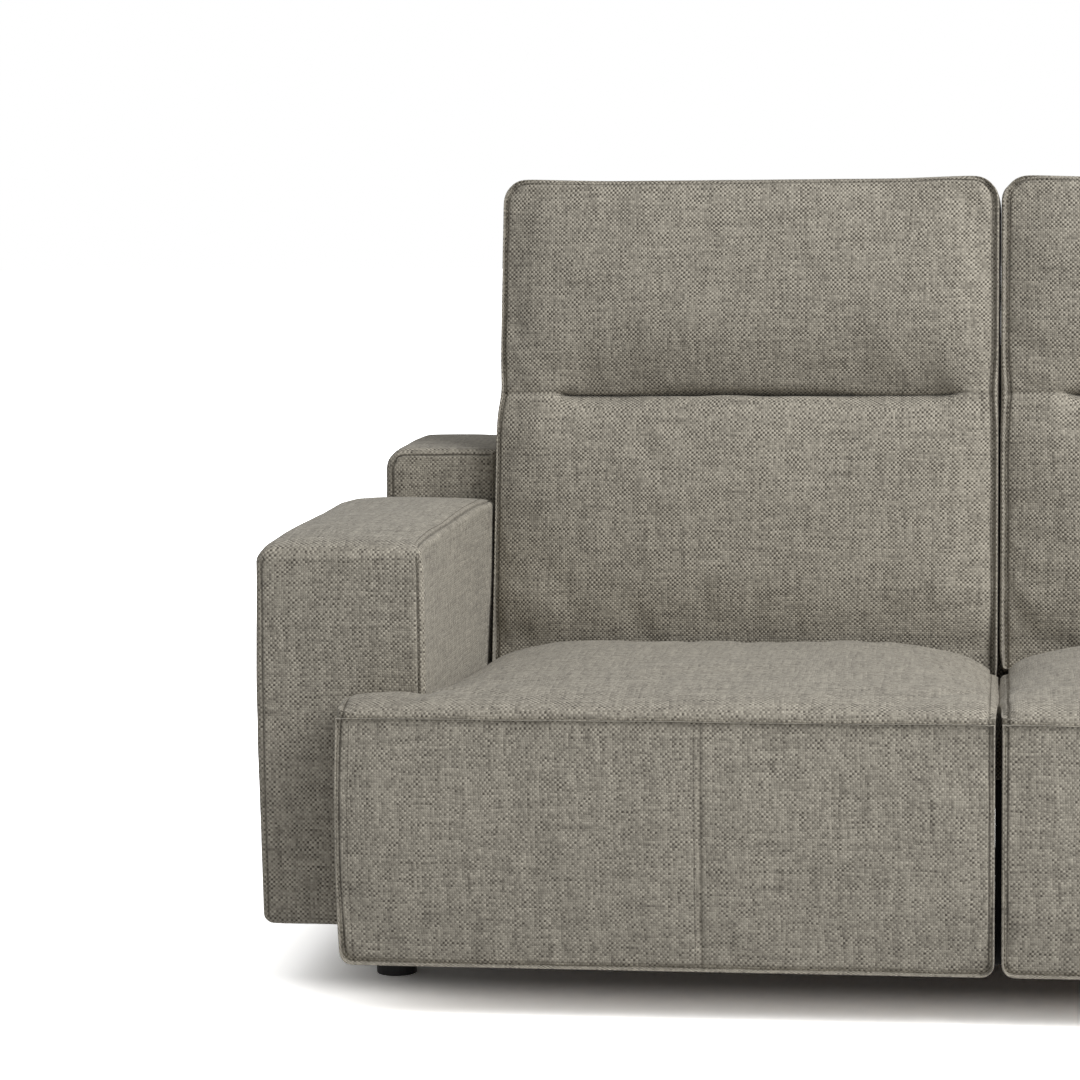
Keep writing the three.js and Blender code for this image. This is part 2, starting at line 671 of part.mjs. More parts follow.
function armBody(side) {
  const length = wingFrontY - wing.gap - armFrontY;
  const body = paddedBlock([arm.width, length, arm.height], arm.round, [4, 6, 4], (point, share) => {
    if (share.z > 0) point.z += arm.crown * full(share.x, share.y) * share.z;
    if (share.y < 0) point.y += arm.bulge * (1 - full(share.x, share.z));
  });
  const placed = body.translate(
    side * (armInnerX + arm.width / 2),
    armFrontY + length / 2,
    foot.height + arm.height / 2,
  );
  const [thickness, height, plateLength] = switchPlate.size;
  const pocket = box(
    spanX(side, armOuterX - rocker.size[0] - thickness, armOuterX + fit.overrun),
    [switchY - plateLength / 2 - fit.touch, switchY + plateLength / 2 + fit.touch],
    [switchZ - height / 2 - fit.touch, switchZ + height / 2 + fit.touch],
  );
  return cut(placed, pocket);
}

// A plate in the outside of the arm with two rocker switches, one for the seat and one for the headrest.
function switchPlateBody(side) {
  const [thickness, height, length] = switchPlate.size;
  const [rockerDepth, rockerLength, rockerHeight] = rocker.size;
  const plate = box(
    spanX(side, armOuterX - rockerDepth - thickness + fit.touch, armOuterX),
    [switchY - length / 2, switchY + length / 2],
    [switchZ - height / 2, switchZ + height / 2],
  );
  const wells = bothSides((place) => {
    const y = switchY + (place * rocker.spacing) / 2;
    return box(
      spanX(side, armOuterX - rockerDepth, armOuterX + fit.overrun),
      [y - rockerLength / 2 - rocker.clearance, y + rockerLength / 2 + rocker.clearance],
      [switchZ - rockerHeight / 2 - rocker.clearance, switchZ + rockerHeight / 2 + rocker.clearance],
    );
  });
  return cut(plate, ...wells);
}

// A rocker on its axle, with a shallow dish on its face, so that each end is a finger's touch.
function rockerBody(side, place) {
  const [rockerDepth, length, height] = rocker.size;
  const y = switchY + (place * rocker.spacing) / 2;
  const inner = -rockerDepth / 2 + rocker.clearance;
  const shape = new THREE.Shape();
  shape.moveTo(inner, -height / 2 + rockerDepth / 2);
  shape.lineTo(0, -height / 2);
  shape.lineTo(rocker.proud, -height / 2);
  shape.quadraticCurveTo(0, 0, rocker.proud, height / 2);
  shape.lineTo(0, height / 2);
  shape.lineTo(inner, height / 2 - rockerDepth / 2);
  shape.closePath();
  const geometry = new THREE.ExtrudeGeometry(shape, { depth: length, bevelEnabled: false, curveSegments: 6 });
  geometry.rotateX(Math.PI / 2).translate(0, length / 2, 0);
  if (side < 0) geometry.rotateZ(Math.PI);
  const reach = length + 2 * (rocker.clearance - fit.touch);
  const axle = new THREE.CylinderGeometry(rocker.pinRadius, rocker.pinRadius, reach, 8);
  const body = join(solid(geometry), solid(axle));
  return body.translate(side * (armOuterX - fit.touch), y, switchZ);
}

function wingBody(side) {
  const width = arm.width - wing.inset;
  const body = paddedBlock([width, wing.depth, wing.height], wing.round, [3, 4, 4], (point, share) => {
    if (share.z > 0) point.z += wing.crown * full(share.x, share.y) * share.z;
  });
  return body.translate(
    side * (armInnerX + width / 2),
    rearY - wing.depth / 2,
    foot.height + wing.height / 2,
  );
}

function footBody(x, y, height) {
  const geometry = new THREE.CylinderGeometry(foot.topRadius, foot.bottomRadius, height - fit.touch, 20);
  geometry.rotateX(Math.PI / 2);
  return solid(geometry.translate(x, y, (height - fit.touch) / 2));
}

const frontTubeY = frontY + crossTube.front;
const rearTubeY = frontY + crossTube.rear;

function baseFrame() {
  const reach = armInnerX - fit.touch;
  const tubes = [frontTubeY, rearTubeY].map((y) =>
    cut(
      box(
        [-reach, reach],
        [y - crossTube.size / 2, y + crossTube.size / 2],
        [crossTube.floorGap, crossTube.floorGap + crossTube.size],
      ),
      box(
        [-reach - fit.overrun, reach + fit.overrun],
        [y - crossTube.size / 2 + crossTube.wall, y + crossTube.size / 2 - crossTube.wall],
        [crossTube.floorGap + crossTube.wall, crossTube.floorGap + crossTube.size - crossTube.wall],
      ),
    ),
  );
  const rails = [-1, 1].flatMap((side) =>
    [-1, 1].map((edge) => {
      const x = side * seatCentreX + edge * railX;
      return box(
        [x - rail.width / 2, x + rail.width / 2],
        [frontY + rail.front, rearPanelBack - rearPanel.thickness - fit.touch],
        [railTop - rail.height - fit.weld, railTop],
      );
    }),
  );
  return join(...tubes, ...rails);
}

const tubeTop = crossTube.floorGap + crossTube.size;

// The middle seat's box: a deck on two side boards, which stand on the cross tubes and carry the console's
// shell.
function middleSeatFrame() {
  const half = halfMiddle - backFrame.inset;
  const front = frontY + pad.thickness + fit.touch;
  const bottom = tubeTop + fit.touch;
  const shellFoot = pivotY + back.rear / Math.cos(lean) + shell.wall;
  const rearRailY = seatRearY - deck.rearGap;
  const boards = bothSides((side) =>
    box(spanX(side, half - sidePlate.thickness, half), [front, shellFoot], [bottom, deckTop]),
  );
  const top = box(
    [-half, half],
    [front, rearRailY + rearRail.thickness],
    [deckTop - deck.thickness, deckTop],
  );
  const crossRail = box(
    [-half + fit.weld, half - fit.weld],
    [rearRailY, rearRailY + rearRail.thickness],
    [bottom, deckTop],
  );
  return join(top, crossRail, ...boards);
}

const consolePivot = [-consoleBack.pivotY, consoleBack.pivotZ];
const shellEarX = shellEar.across / 2;
const slotTop = consoleBack.pivotZ + shellEar.rise + shellEar.radius + fit.overrun;

// The fixed upholstered shell behind the console, thin at the bottom where the console's tail swings through.
function consoleShell() {
  const half = halfMiddle - shell.inset;
  const bottom = back.bottom - back.pivotDrop;
  const wall = paddedPanel(
    [-half, half],
    [back.rear - shell.wall, back.rear],
    [bottom, back.top - creaseFold.gap],
    shell.wall / 3,
    [2, 1, 2],
  );
  const padding = paddedPanel(
    [-half, half],
    [back.rear - shell.wall - shell.pad, back.rear - fit.weld],
    [shell.padBottom, back.top - creaseFold.gap - fit.weld],
    shell.wall / 3,
    [2, 1, 2],
  );
  const earFoot = [back.rear - shell.wall, consoleBack.pivotZ + shellEar.rise];
  const hole = [...consolePivot, hingeTube.radius + hingeTube.clearance];
  const ear = strap(consolePivot, earFoot, 2 * shellEar.radius, [hole]);
  const ears = bothSides((side) => {
    const range = spanX(side, shellEarX - shellEar.thickness / 2, shellEarX + shellEar.thickness / 2);
    const clip = box(
      [-half, half],
      [-back.front, back.rear - shell.wall / 2],
      [back.bottom, back.crease],
    );
    return alongX(ear, ...range, 5).intersect(clip);
  });
  return join(wall, padding, ...ears);
}

// Slots in the console's tail for the shell's ears to pass through as it folds.
function earSlots() {
  return bothSides((side) =>
    box(
      spanX(side, shellEarX - shellEar.thickness, shellEarX + shellEar.thickness),
      [consolePivot[0] - shellEar.radius - fit.overrun, consoleBack.rear + fit.overrun],
      [back.bottom - fit.overrun, slotTop],
    ),
  );
}

const cupPlaces = [-1, 1].map((side) => (side * cup.spacing) / 2);

function cupCylinder(radius, fromY, toY, x, sides = 24) {
  const geometry = new THREE.CylinderGeometry(radius, radius, toY - fromY, sides);
  return solid(geometry.translate(x, (fromY + toY) / 2, cup.height));
}

// Pockets in the tray's hidden side, which leave its table skin, a rim and ribs between them.
function trayPockets(half, front) {
  const { skin, rib } = consoleTray;
  const wellReach = cup.radius + rib;
  const top = consoleTray.top - rib;
  const middle = (cup.height + wellReach + top) / 2;
  const rows = [
    [slotTop + rib, cup.height - wellReach],
    [cup.height + wellReach, middle - rib / 2],
    [middle + rib / 2, top],
  ];
  const width = (2 * half - 4 * rib) / 3;
  return [-1, 0, 1].flatMap((column) => {
    const x = column * (width + rib);
    const depthRange = [front - fit.overrun, consoleBack.rear - skin];
    return rows.map((row) => box([x - width / 2, x + width / 2], depthRange, row));
  });
}

// The hard table in the back of the console, with wells for the cups, and the tube that it folds about.
function trayBody() {
  const half = halfMiddle - consoleTray.inset;
  const front = -(consoleBack.front - consoleBack.cushion) + fit.touch;
  const slab = paddedPanel(
    [-half, half],
    [front, consoleBack.rear],
    [consoleTray.bottom, consoleTray.top],
    pin.radius,
    [2, 1, 2],
  );
  const wellFloor = consoleBack.rear - cup.depth - cup.clearance;
  const wells = cupPlaces.map((x) =>
    cupCylinder(cup.radius + cup.clearance, wellFloor, consoleBack.rear + fit.overrun, x),
  );
  const [usbWidth, usbDepth, usbHeight] = usb.size;
  const usbPocket = box(
    [-usbWidth / 2 - fit.touch, usbWidth / 2 + fit.touch],
    [consoleBack.rear - usbDepth, consoleBack.rear + fit.overrun],
    [usb.height - usbHeight / 2 - fit.touch, usb.height + usbHeight / 2 + fit.touch],
  );
  const tubeEnd = half - consoleTray.inset;
  const tube = roundBar(hingeTube.radius, -tubeEnd, tubeEnd, consolePivot, 12);
  const bracket = strap(consolePivot, [front + hingeTube.reach, consoleBack.pivotZ], 2 * shellEar.radius, []);
  const brackets = bothSides((side) => {
    const x = shellEarX + 2 * shellEar.thickness;
    return alongX(bracket, ...spanX(side, x, x + hingeTube.bracket), 5);
  });
  const pockets = trayPockets(half, front);
  return join(cut(slab, ...pockets, ...wells, usbPocket, ...earSlots()), tube, ...brackets);
}

// A cup liner with a flat floor and a thin rim that lies on the tray.
function cupLiner(x) {
  const { rear } = consoleBack;
  const rimFrom = rear + fit.touch;
  const outer = join(
    cupCylinder(cup.radius, rear - cup.depth, rimFrom + fit.weld / 2, x),
    cupCylinder(cup.radius + cupLip.width, rimFrom, rimFrom + cupLip.height, x),
  );
  const inside = cupCylinder(cup.radius - cup.wall, rear - cup.depth + cup.wall, rear + fit.overrun, x);
  return cut(outer, inside);
}

function usbModule() {
  const [width, depthY, height] = usb.size;
  const body = box(
    [-width / 2, width / 2],
    [consoleBack.rear - depthY + fit.touch, consoleBack.rear],
    [usb.height - height / 2, usb.height + height / 2],
  );
  const [portWidth, portDepth, portHeight] = usb.port;
  const ports = [-1, 1].map((side) => {
    const x = (side * usb.portSpacing) / 2;
    return box(
      [x - portWidth / 2, x + portWidth / 2],
      [consoleBack.rear - portDepth, consoleBack.rear + fit.overrun],
      [usb.height - portHeight / 2, usb.height + portHeight / 2],
    );
  });
  return cut(body, ...ports);
}

// Cuts the space of the hinge tube and its brackets from the console's lower cushion.
function hingeSpace() {
  const half = halfMiddle - consoleTray.inset;
  const tube = roundBar(hingeTube.radius + fit.touch, -half, half, consolePivot, 12);
  const brackets = bothSides((side) => {
    const x = shellEarX + 2 * shellEar.thickness;
    return box(
      spanX(side, x - fit.touch, x + hingeTube.bracket + fit.touch),
      [consolePivot[0] - shellEar.radius - fit.touch, 0],
      [consoleBack.pivotZ - shellEar.radius - fit.touch, consoleBack.pivotZ + shellEar.radius + fit.touch],
    );
  });
  return [tube, ...brackets];
}

function middleSection() {
  const group = new THREE.Group();
  const leaning = new THREE.Group();
  leaning.position.set(0, pivotY, pivotZ);
  leaning.rotation.x = -lean;
  group.add(leaning);
  group.add(
    piece("console_seat_cushion", seatCushion(halfMiddle, false), fabric),
    piece("console_seat_frame", middleSeatFrame(), plywood),
    piece("console_front_panel", frontPad(-halfMiddle, halfMiddle), fabric),
  );
  const rearPlane = -(consoleBack.front - consoleBack.cushion);
  const lowerRear = [
    [-consoleTray.tail, consoleBack.bottom],
    [-consoleTray.tail, consoleTray.bottom - fit.touch],
    [rearPlane, consoleTray.bottom - fit.touch],
    [rearPlane, back.crease - fit.weld],
  ];
  const upperRear = [
    [rearPlane, back.crease + creaseFold.gap],
    [rearPlane, consoleTray.top + fit.touch],
    [consoleBack.rear - consoleTray.edge, consoleTray.top + fit.touch],
    [consoleBack.rear - consoleTray.edge, back.top],
  ];
  const lower = (front, side, draw) => lowerOutline(front, side, draw, consoleBack.bottom);
  const lowerCushion = backCushion(halfMiddle, lower, consoleBack.front, lowerRear);
  leaning.add(
    piece("console_back_shell", consoleShell(), fabric),
    piece("console_lower_cushion", cut(lowerCushion, ...earSlots(), ...hingeSpace()), fabric),
    piece(
      "console_upper_cushion",
      backCushion(halfMiddle, upperOutline, consoleBack.front, upperRear),
      fabric,
    ),
    piece("console_tray", trayBody(), trayPlastic),
    piece("console_cup_left", cupLiner(cupPlaces[0]), cupSteel),
    piece("console_cup_right", cupLiner(cupPlaces[1]), cupSteel),
    piece("console_usb_module", usbModule(), blackPlastic),
  );
  return group;
}

// The socket in the rear panel that the power supply's lead plugs into.
function powerInlet() {
  const y = rearPanelBack;
  const ring = (radius, from, to, sides) =>
    solid(new THREE.CylinderGeometry(radius, radius, to - from, sides).translate(0, (from + to) / 2, 0));
  const body = join(
    ring(inlet.radius, y - inlet.depth, y + fit.touch + fit.weld, 20),
    ring(inlet.flange, y + fit.touch, y + inlet.flangeThickness, 20),
  );
  const bore = ring(inlet.bore, y - inlet.depth + inlet.flangeThickness, y + fit.overrun, 16);
  const contact = ring(inlet.pinRadius, y - inlet.depth + fit.weld, y, 8);
  return join(cut(body, bore), contact).translate(0, 0, foot.height + inlet.height);
}

function rearPanelBody() {
  const half = armInnerX - fit.touch;
  const panel = paddedPanel(
    [-half, half],
    [rearPanelBack - rearPanel.thickness, rearPanelBack],
    [foot.height, wingTop],
    rearPanel.round,
    [8, 1, 4],
  );
  const hole = new THREE.CylinderGeometry(
    inlet.radius + fit.touch,
    inlet.radius + fit.touch,
    inlet.depth + fit.overrun + fit.touch,
    20,
  );
  hole.translate(0, rearPanelBack + (fit.overrun - inlet.depth - fit.touch) / 2, foot.height + inlet.height);
  return cut(panel, solid(hole));
}

function feet() {
  const outerX = armInnerX + foot.inset;
  const innerX = seatCentreX - railX + middleFoot.inset;
  const corner = [
    ["front", armFrontY + foot.fromFront],
    ["rear", rearY - foot.fromBack],
  ];
  const middle = [
    ["middle_front", frontTubeY],
    ["middle_rear", rearTubeY],
  ];
  return [-1, 1].flatMap((side) => {
    const word = side < 0 ? "left" : "right";
    return [
      ...corner.map(([place, y]) =>
        piece(`foot_${place}_${word}`, footBody(side * outerX, y, foot.height), blackPlastic),
      ),
      ...middle.map(([place, y]) =>
        piece(`foot_${place}_${word}`, footBody(side * innerX, y, crossTube.floorGap), blackPlastic),
      ),
    ];
  });
}

const sofa = new THREE.Group();
for (const side of [-1, 1]) {
  const word = side < 0 ? "left" : "right";
  sofa.add(
    piece(`${word}_arm`, armBody(side), fabric),
    piece(`${word}_back_wing`, wingBody(side), fabric),
    piece(`${word}_switch_plate`, switchPlateBody(side), blackPlastic),
    piece(`${word}_recline_rocker`, rockerBody(side, -1), blackPlastic),
    piece(`${word}_headrest_rocker`, rockerBody(side, 1), blackPlastic),
    recliner(side),
  );
}
sofa.add(
  piece("rear_panel", rearPanelBody(), fabric),
  piece("power_inlet", powerInlet(), blackPlastic),
  piece("base_frame", baseFrame(), steel),
  middleSection(),
  ...feet(),
);

export default sofa;
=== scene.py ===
import math

import bmesh
import bpy
import numpy as np
from mathutils import Matrix, Vector, noise
from mathutils.bvhtree import BVHTree
from mathutils.kdtree import KDTree


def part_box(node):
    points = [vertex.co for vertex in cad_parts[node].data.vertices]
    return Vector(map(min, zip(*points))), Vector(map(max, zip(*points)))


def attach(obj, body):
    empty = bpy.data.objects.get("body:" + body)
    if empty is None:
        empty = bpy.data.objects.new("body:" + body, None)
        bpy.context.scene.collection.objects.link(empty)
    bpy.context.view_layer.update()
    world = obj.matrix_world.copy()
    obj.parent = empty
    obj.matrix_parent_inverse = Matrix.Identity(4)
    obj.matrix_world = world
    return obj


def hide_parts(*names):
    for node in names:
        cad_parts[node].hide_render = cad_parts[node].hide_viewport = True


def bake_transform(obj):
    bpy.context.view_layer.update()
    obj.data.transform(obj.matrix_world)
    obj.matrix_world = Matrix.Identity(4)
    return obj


# A three-seat reclining sofa in grey-beige tweed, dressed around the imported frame.
# Lengths in the dictionaries are in millimetres and angles in degrees.
# The weave, the stage, the lamps and the camera are in metres.
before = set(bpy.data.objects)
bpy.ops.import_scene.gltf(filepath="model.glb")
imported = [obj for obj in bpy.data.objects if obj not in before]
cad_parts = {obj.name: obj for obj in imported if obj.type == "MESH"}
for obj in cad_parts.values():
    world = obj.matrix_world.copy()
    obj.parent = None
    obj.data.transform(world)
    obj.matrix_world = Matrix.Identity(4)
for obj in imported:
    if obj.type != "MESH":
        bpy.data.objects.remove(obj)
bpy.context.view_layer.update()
mm = 0.001


# Helpers for padded pieces

def clearSelection():
    if bpy.context.object and bpy.context.object.mode != "OBJECT":
        bpy.ops.object.mode_set(mode="OBJECT")
    bpy.ops.object.select_all(action="DESELECT")


def activate(piece):
    clearSelection()
    piece.select_set(True)
    bpy.context.view_layer.objects.active = piece


def coordsOf(piece):
    flat = np.empty(len(piece.data.vertices) * 3)
    piece.data.vertices.foreach_get("co", flat)
    return flat.reshape(-1, 3)


def setCoords(piece, places):
    piece.data.vertices.foreach_set("co", np.asarray(places, np.float32).ravel())
    piece.data.update()


def normalsOf(piece):
    flat = np.empty(len(piece.data.vertices) * 3, np.float32)
    piece.data.vertex_normals.foreach_get("vector", flat)
    return flat.reshape(-1, 3)


def nodeBox(node):
    low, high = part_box(node)
    return np.array(low) / mm, np.array(high) / mm


# Rows along one side of a block: close together by both ends, at given places, and evenly spread between.
def rowsAlong(low, high, insets, cell, extra=()):
    fixed = sorted({*(low + i for i in insets), *(high - i for i in insets), *extra})
    fixed = [v for v in fixed if low <= v <= high]
    kept = [fixed[0]]
    for value in fixed[1:]:
        if value - kept[-1] > 0.6:
            kept.append(value)
    kept[-1] = fixed[-1]
    rows = []
    for a, b in zip(kept, kept[1:]):
        count = max(1, round((b - a) / cell))
        rows += [a + (b - a) * k / count for k in range(count)]
    return rows + [kept[-1]]


# A cube primitive cut along each axis and stretched so that its cuts lie at the given rows.
def cutBlock(name, rows):
    clearSelection()
    bpy.ops.mesh.primitive_cube_add(size=1)
    piece = bpy.context.object
    piece.name = piece.data.name = name
    bpy.ops.object.mode_set(mode="EDIT")
    bpy.ops.mesh.select_mode(type="EDGE")
    for axis in range(3):
        bpy.ops.mesh.select_all(action="DESELECT")
        mesh = bmesh.from_edit_mesh(piece.data)
        for edge in mesh.edges:
            run = edge.verts[1].co - edge.verts[0].co
            if all(abs(run[k]) < 1e-5 for k in range(3) if k != axis):
                edge.select_set(True)
        bmesh.update_edit_mesh(piece.data)
        if len(rows[axis]) > 2:
            bpy.ops.mesh.subdivide(number_cuts=len(rows[axis]) - 2)
    bpy.ops.object.mode_set(mode="OBJECT")
    places = coordsOf(piece)
    for axis in range(3):
        row = np.rint((places[:, axis] + 0.5) * (len(rows[axis]) - 1)).astype(int)
        places[:, axis] = np.array(rows[axis])[row]
    setCoords(piece, places * mm)
    return piece, places


# Rounds a block: its outline in the plane of two axes gets corners, then the edges round it roll over.
# Corners are radii at low-low, high-low, low-high and high-high of the plane.
# Gives the new places and how far each point lies in from the outline and from the nearer face.
def roundBlock(places, low, high, depthAxis, corners, edge):
    plane = [k for k in range(3) if k != depthAxis]
    centre, half = (low + high) / 2, (high - low) / 2
    q = places - centre
    size, sign = np.abs(q), np.where(q < 0, -1.0, 1.0)
    corner = np.array(corners, float)[(q[:, plane[0]] > 0) * 1 + (q[:, plane[1]] > 0) * 2]
    inner = np.minimum(size[:, plane], half[plane] - corner[:, None])
    out = size[:, plane] - inner
    length = np.hypot(out[:, 0], out[:, 1])
    inset = (half[plane] - size[:, plane]).min(1)
    facing = half[depthAxis] - size[:, depthAxis]
    a, b = np.clip(edge - inset, 0, None), np.clip(edge - facing, 0, None)
    roll = np.maximum(np.hypot(a, b), 1e-9)
    rolled = (a > 0) & (b > 0)
    newInset = np.where(rolled, edge - a * edge / roll, inset)
    newFacing = np.where(rolled, edge - b * edge / roll, facing)
    direction = out / np.maximum(length, 1e-9)[:, None]
    moved = inner + direction * (np.where(rolled, corner - newInset, out.max(1)))[:, None]
    made = places.copy()
    for column, axis in enumerate(plane):
        shifted = centre[axis] + sign[:, axis] * moved[:, column]
        made[:, axis] = np.where(length > 1e-9, shifted, places[:, axis])
    made[:, depthAxis] = centre[depthAxis] + sign[:, depthAxis] * (half[depthAxis] - newFacing)
    return made, inset, facing


def fullness(u, v, power=3):
    return (1 - np.abs(u) ** power) * (1 - np.abs(v) ** power)


def smooth(value, start, end):
    t = np.clip((value - start) / np.maximum(np.subtract(end, start), 1e-6), 0, 1)
    return t * t * (3 - 2 * t)


def groove(distance, width):
    return np.exp(-(distance / width) ** 2)


# Slow waves and small dents of a filled cloth, as one number a point from about -1 to 1.
def waves(places, size, seed=0):
    step = Vector((seed * 17.3, seed * 5.1, seed * 9.7))
    return np.array([noise.noise(Vector(p) / size + step) for p in places]) * 2


# Waves of a given height and size, in millimetres.
def ripple(places, form, seed):
    height, size = form
    return height * waves(places, size, seed)


# Moves each point along its own normal by so many millimetres.
def pushOut(piece, amount):
    setCoords(piece, coordsOf(piece) + normalsOf(piece) * amount[:, None] * mm)


# Keeps on the mesh, from 0 to 1, how much painted shade the cloth's colour gets at each point, deepest in its
# seams and folds.
def paintShade(piece, depth):
    layer = piece.data.attributes.new("seam", "FLOAT", "POINT")
    layer.data.foreach_set("value", np.clip(depth, 0, 1).astype(np.float32))


billow = {
    "voxel": 9, "pressure": 4, "frames": 20, "slack": 0.03, "mass": 0.3, "stiffness": 0.3, "quality": 4,
    "rounds": 30, "cap": 4, "share": 0.8, "nearest": 4,
}


# Blows a copy of a piece up as slack cloth held along its seams, and carries the puckers over to the piece.
# The slow part of the swelling is taken off, because the piece already has its full shape.
def fillOut(piece, held, weight=1):
    activate(piece)
    bpy.ops.object.duplicate()
    bag = bpy.context.object
    bag.data.remesh_voxel_size = billow["voxel"] * mm
    bpy.ops.object.voxel_remesh()
    before, own = coordsOf(bag), coordsOf(piece)
    nearest = KDTree(len(own))
    for index, place in enumerate(own):
        nearest.insert(place, index)
    nearest.balance()
    pinned = np.array([held[nearest.find(place)[1]] for place in before])
    group = bag.vertex_groups.new(name="held")
    group.add(np.flatnonzero(pinned).tolist(), 1.0, "REPLACE")
    fill = bag.modifiers.new("fill", "CLOTH")
    fill.settings.quality = billow["quality"]
    fill.settings.mass = billow["mass"]
    fill.settings.bending_stiffness = billow["stiffness"]
    fill.settings.shrink_min = -billow["slack"]
    fill.settings.use_pressure = True
    fill.settings.uniform_pressure_force = billow["pressure"]
    fill.settings.effector_weights.gravity = 0
    fill.settings.vertex_group_mass = "held"
    fill.collision_settings.use_collision = False
    fill.point_cache.frame_start, fill.point_cache.frame_end = 1, billow["frames"]
    for step in range(1, billow["frames"] + 1):
        bpy.context.scene.frame_set(step)
    bpy.ops.object.modifier_apply(modifier="fill")
    move = (coordsOf(bag) - before) / mm
    ends = np.empty(len(bag.data.edges) * 2, int)
    bag.data.edges.foreach_get("vertices", ends)
    first, second = ends.reshape(-1, 2).T
    count = np.bincount(ends, minlength=len(before))[:, None]
    slow = move.copy()
    for _ in range(billow["rounds"]):
        sums = []
        for k in range(3):
            here = np.bincount(first, slow[second, k], len(slow))
            sums.append(here + np.bincount(second, slow[first, k], len(slow)))
        slow = np.where(pinned[:, None], 0, np.stack(sums, 1) / np.maximum(count, 1))
    fine = (move - slow) * billow["share"]
    fine *= np.minimum(1, billow["cap"] / np.maximum(np.linalg.norm(fine, axis=1)[:, None], 1e-9))
    spread = KDTree(len(before))
    for index, place in enumerate(before):
        spread.insert(place, index)
    spread.balance()
    weight = np.broadcast_to(weight, len(own))
    for index in np.flatnonzero(~held):
        found = spread.find_n(own[index], billow["nearest"])
        weights = np.array([1 / (distance + 1e-4) for _, _, distance in found])
        mean = (fine[[k for _, k, _ in found]] * weights[:, None]).sum(0) / weights.sum()
        own[index] += mean * weight[index] * mm
    setCoords(piece, own)
    bpy.context.scene.frame_set(1)
    bpy.data.objects.remove(bag)
    clearSelection()
    print(piece.name, "filled out")


def finishSoft(piece, material, levels=1):
    activate(piece)
    if levels:
        modifier = piece.modifiers.new("fine", "SUBSURF")
        modifier.levels = modifier.render_levels = levels
        bpy.ops.object.modifier_apply(modifier="fine")
    bpy.ops.object.shade_smooth()
    bpy.ops.object.mode_set(mode="EDIT")
    bpy.ops.mesh.select_all(action="SELECT")
    bpy.ops.uv.cube_project(cube_size=1, correct_aspect=False)
    bpy.ops.object.mode_set(mode="OBJECT")
    piece.data.materials.clear()
    piece.data.materials.append(material)
    clearSelection()


# The other side's copy of a piece, mirrored across the middle of the sofa.
def mirrored(piece, name):
    activate(piece)
    bpy.ops.object.duplicate()
    twin = bpy.context.object
    twin.name = twin.data.name = name
    places = coordsOf(twin)
    places[:, 0] *= -1
    setCoords(twin, places)
    bpy.ops.object.mode_set(mode="EDIT")
    bpy.ops.mesh.select_all(action="SELECT")
    bpy.ops.mesh.flip_normals()
    bpy.ops.object.mode_set(mode="OBJECT")
    clearSelection()
    return twin


# Materials

def newGroup(name, inputs, outputs):
    tree = bpy.data.node_groups.new(name, "ShaderNodeTree")
    for label, kind, value in inputs:
        socket = tree.interface.new_socket(name=label, in_out="INPUT", socket_type=kind)
        if value is not None:
            socket.default_value = value
    for label, kind in outputs:
        tree.interface.new_socket(name=label, in_out="OUTPUT", socket_type=kind)
    return tree, tree.nodes.new("NodeGroupInput"), tree.nodes.new("NodeGroupOutput")


def feed(tree, socket, value):
    if hasattr(value, "is_output"):
        tree.links.new(value, socket)
    elif value is not None:
        socket.default_value = value


def calc(tree, operation, *values, clamp=False):
    node = tree.nodes.new("ShaderNodeMath")
    node.operation, node.use_clamp = operation, clamp
    for socket, value in zip(node.inputs, values):
        feed(tree, socket, value)
    return node.outputs[0]


def plus(tree, *values, clamp=False):
    return calc(tree, "ADD", *values, clamp=clamp)


def minus(tree, *values):
    return calc(tree, "SUBTRACT", *values)


def times(tree, *values):
    return calc(tree, "MULTIPLY", *values)


def vectorCalc(tree, operation, *values):
    node = tree.nodes.new("ShaderNodeVectorMath")
    node.operation = operation
    for socket, value in zip(node.inputs, values):
        feed(tree, socket, value)
    return node.outputs[0]


def noiseOf(tree, vector, scale, detail=2.0, roughness=0.5):
    node = tree.nodes.new("ShaderNodeTexNoise")
    feed(tree, node.inputs["Vector"], vector)
    feed(tree, node.inputs["Scale"], scale)
    feed(tree, node.inputs["Detail"], detail)
    feed(tree, node.inputs["Roughness"], roughness)
    return node.outputs["Fac"]


def mixColour(tree, share, first, second):
    node = tree.nodes.new("ShaderNodeMix")
    node.data_type = "RGBA"
    feed(tree, node.inputs["Factor"], share)
    feed(tree, node.inputs["A"], first)
    feed(tree, node.inputs["B"], second)
    return node.outputs["Result"]


def joinXyz(tree, x, y, z=0.0):
    node = tree.nodes.new("ShaderNodeCombineXYZ")
    for socket, value in zip(node.inputs, (x, y, z)):
        feed(tree, socket, value)
    return node.outputs[0]


weave = {
    "drift": (3.2, 3.2, 0.0), "driftScale": 0.045, "warpStep": 3.71, "weftStep": 4.37, "slubRun": 0.035,
    "patchScale": 60.0, "patchGain": 3.6, "patchOffset": -0.9, "leastCheck": 0.15, "dots": 0.36,
    "cloudScale": 14.0, "roughness": 0.97, "gloss": 0.12,
}


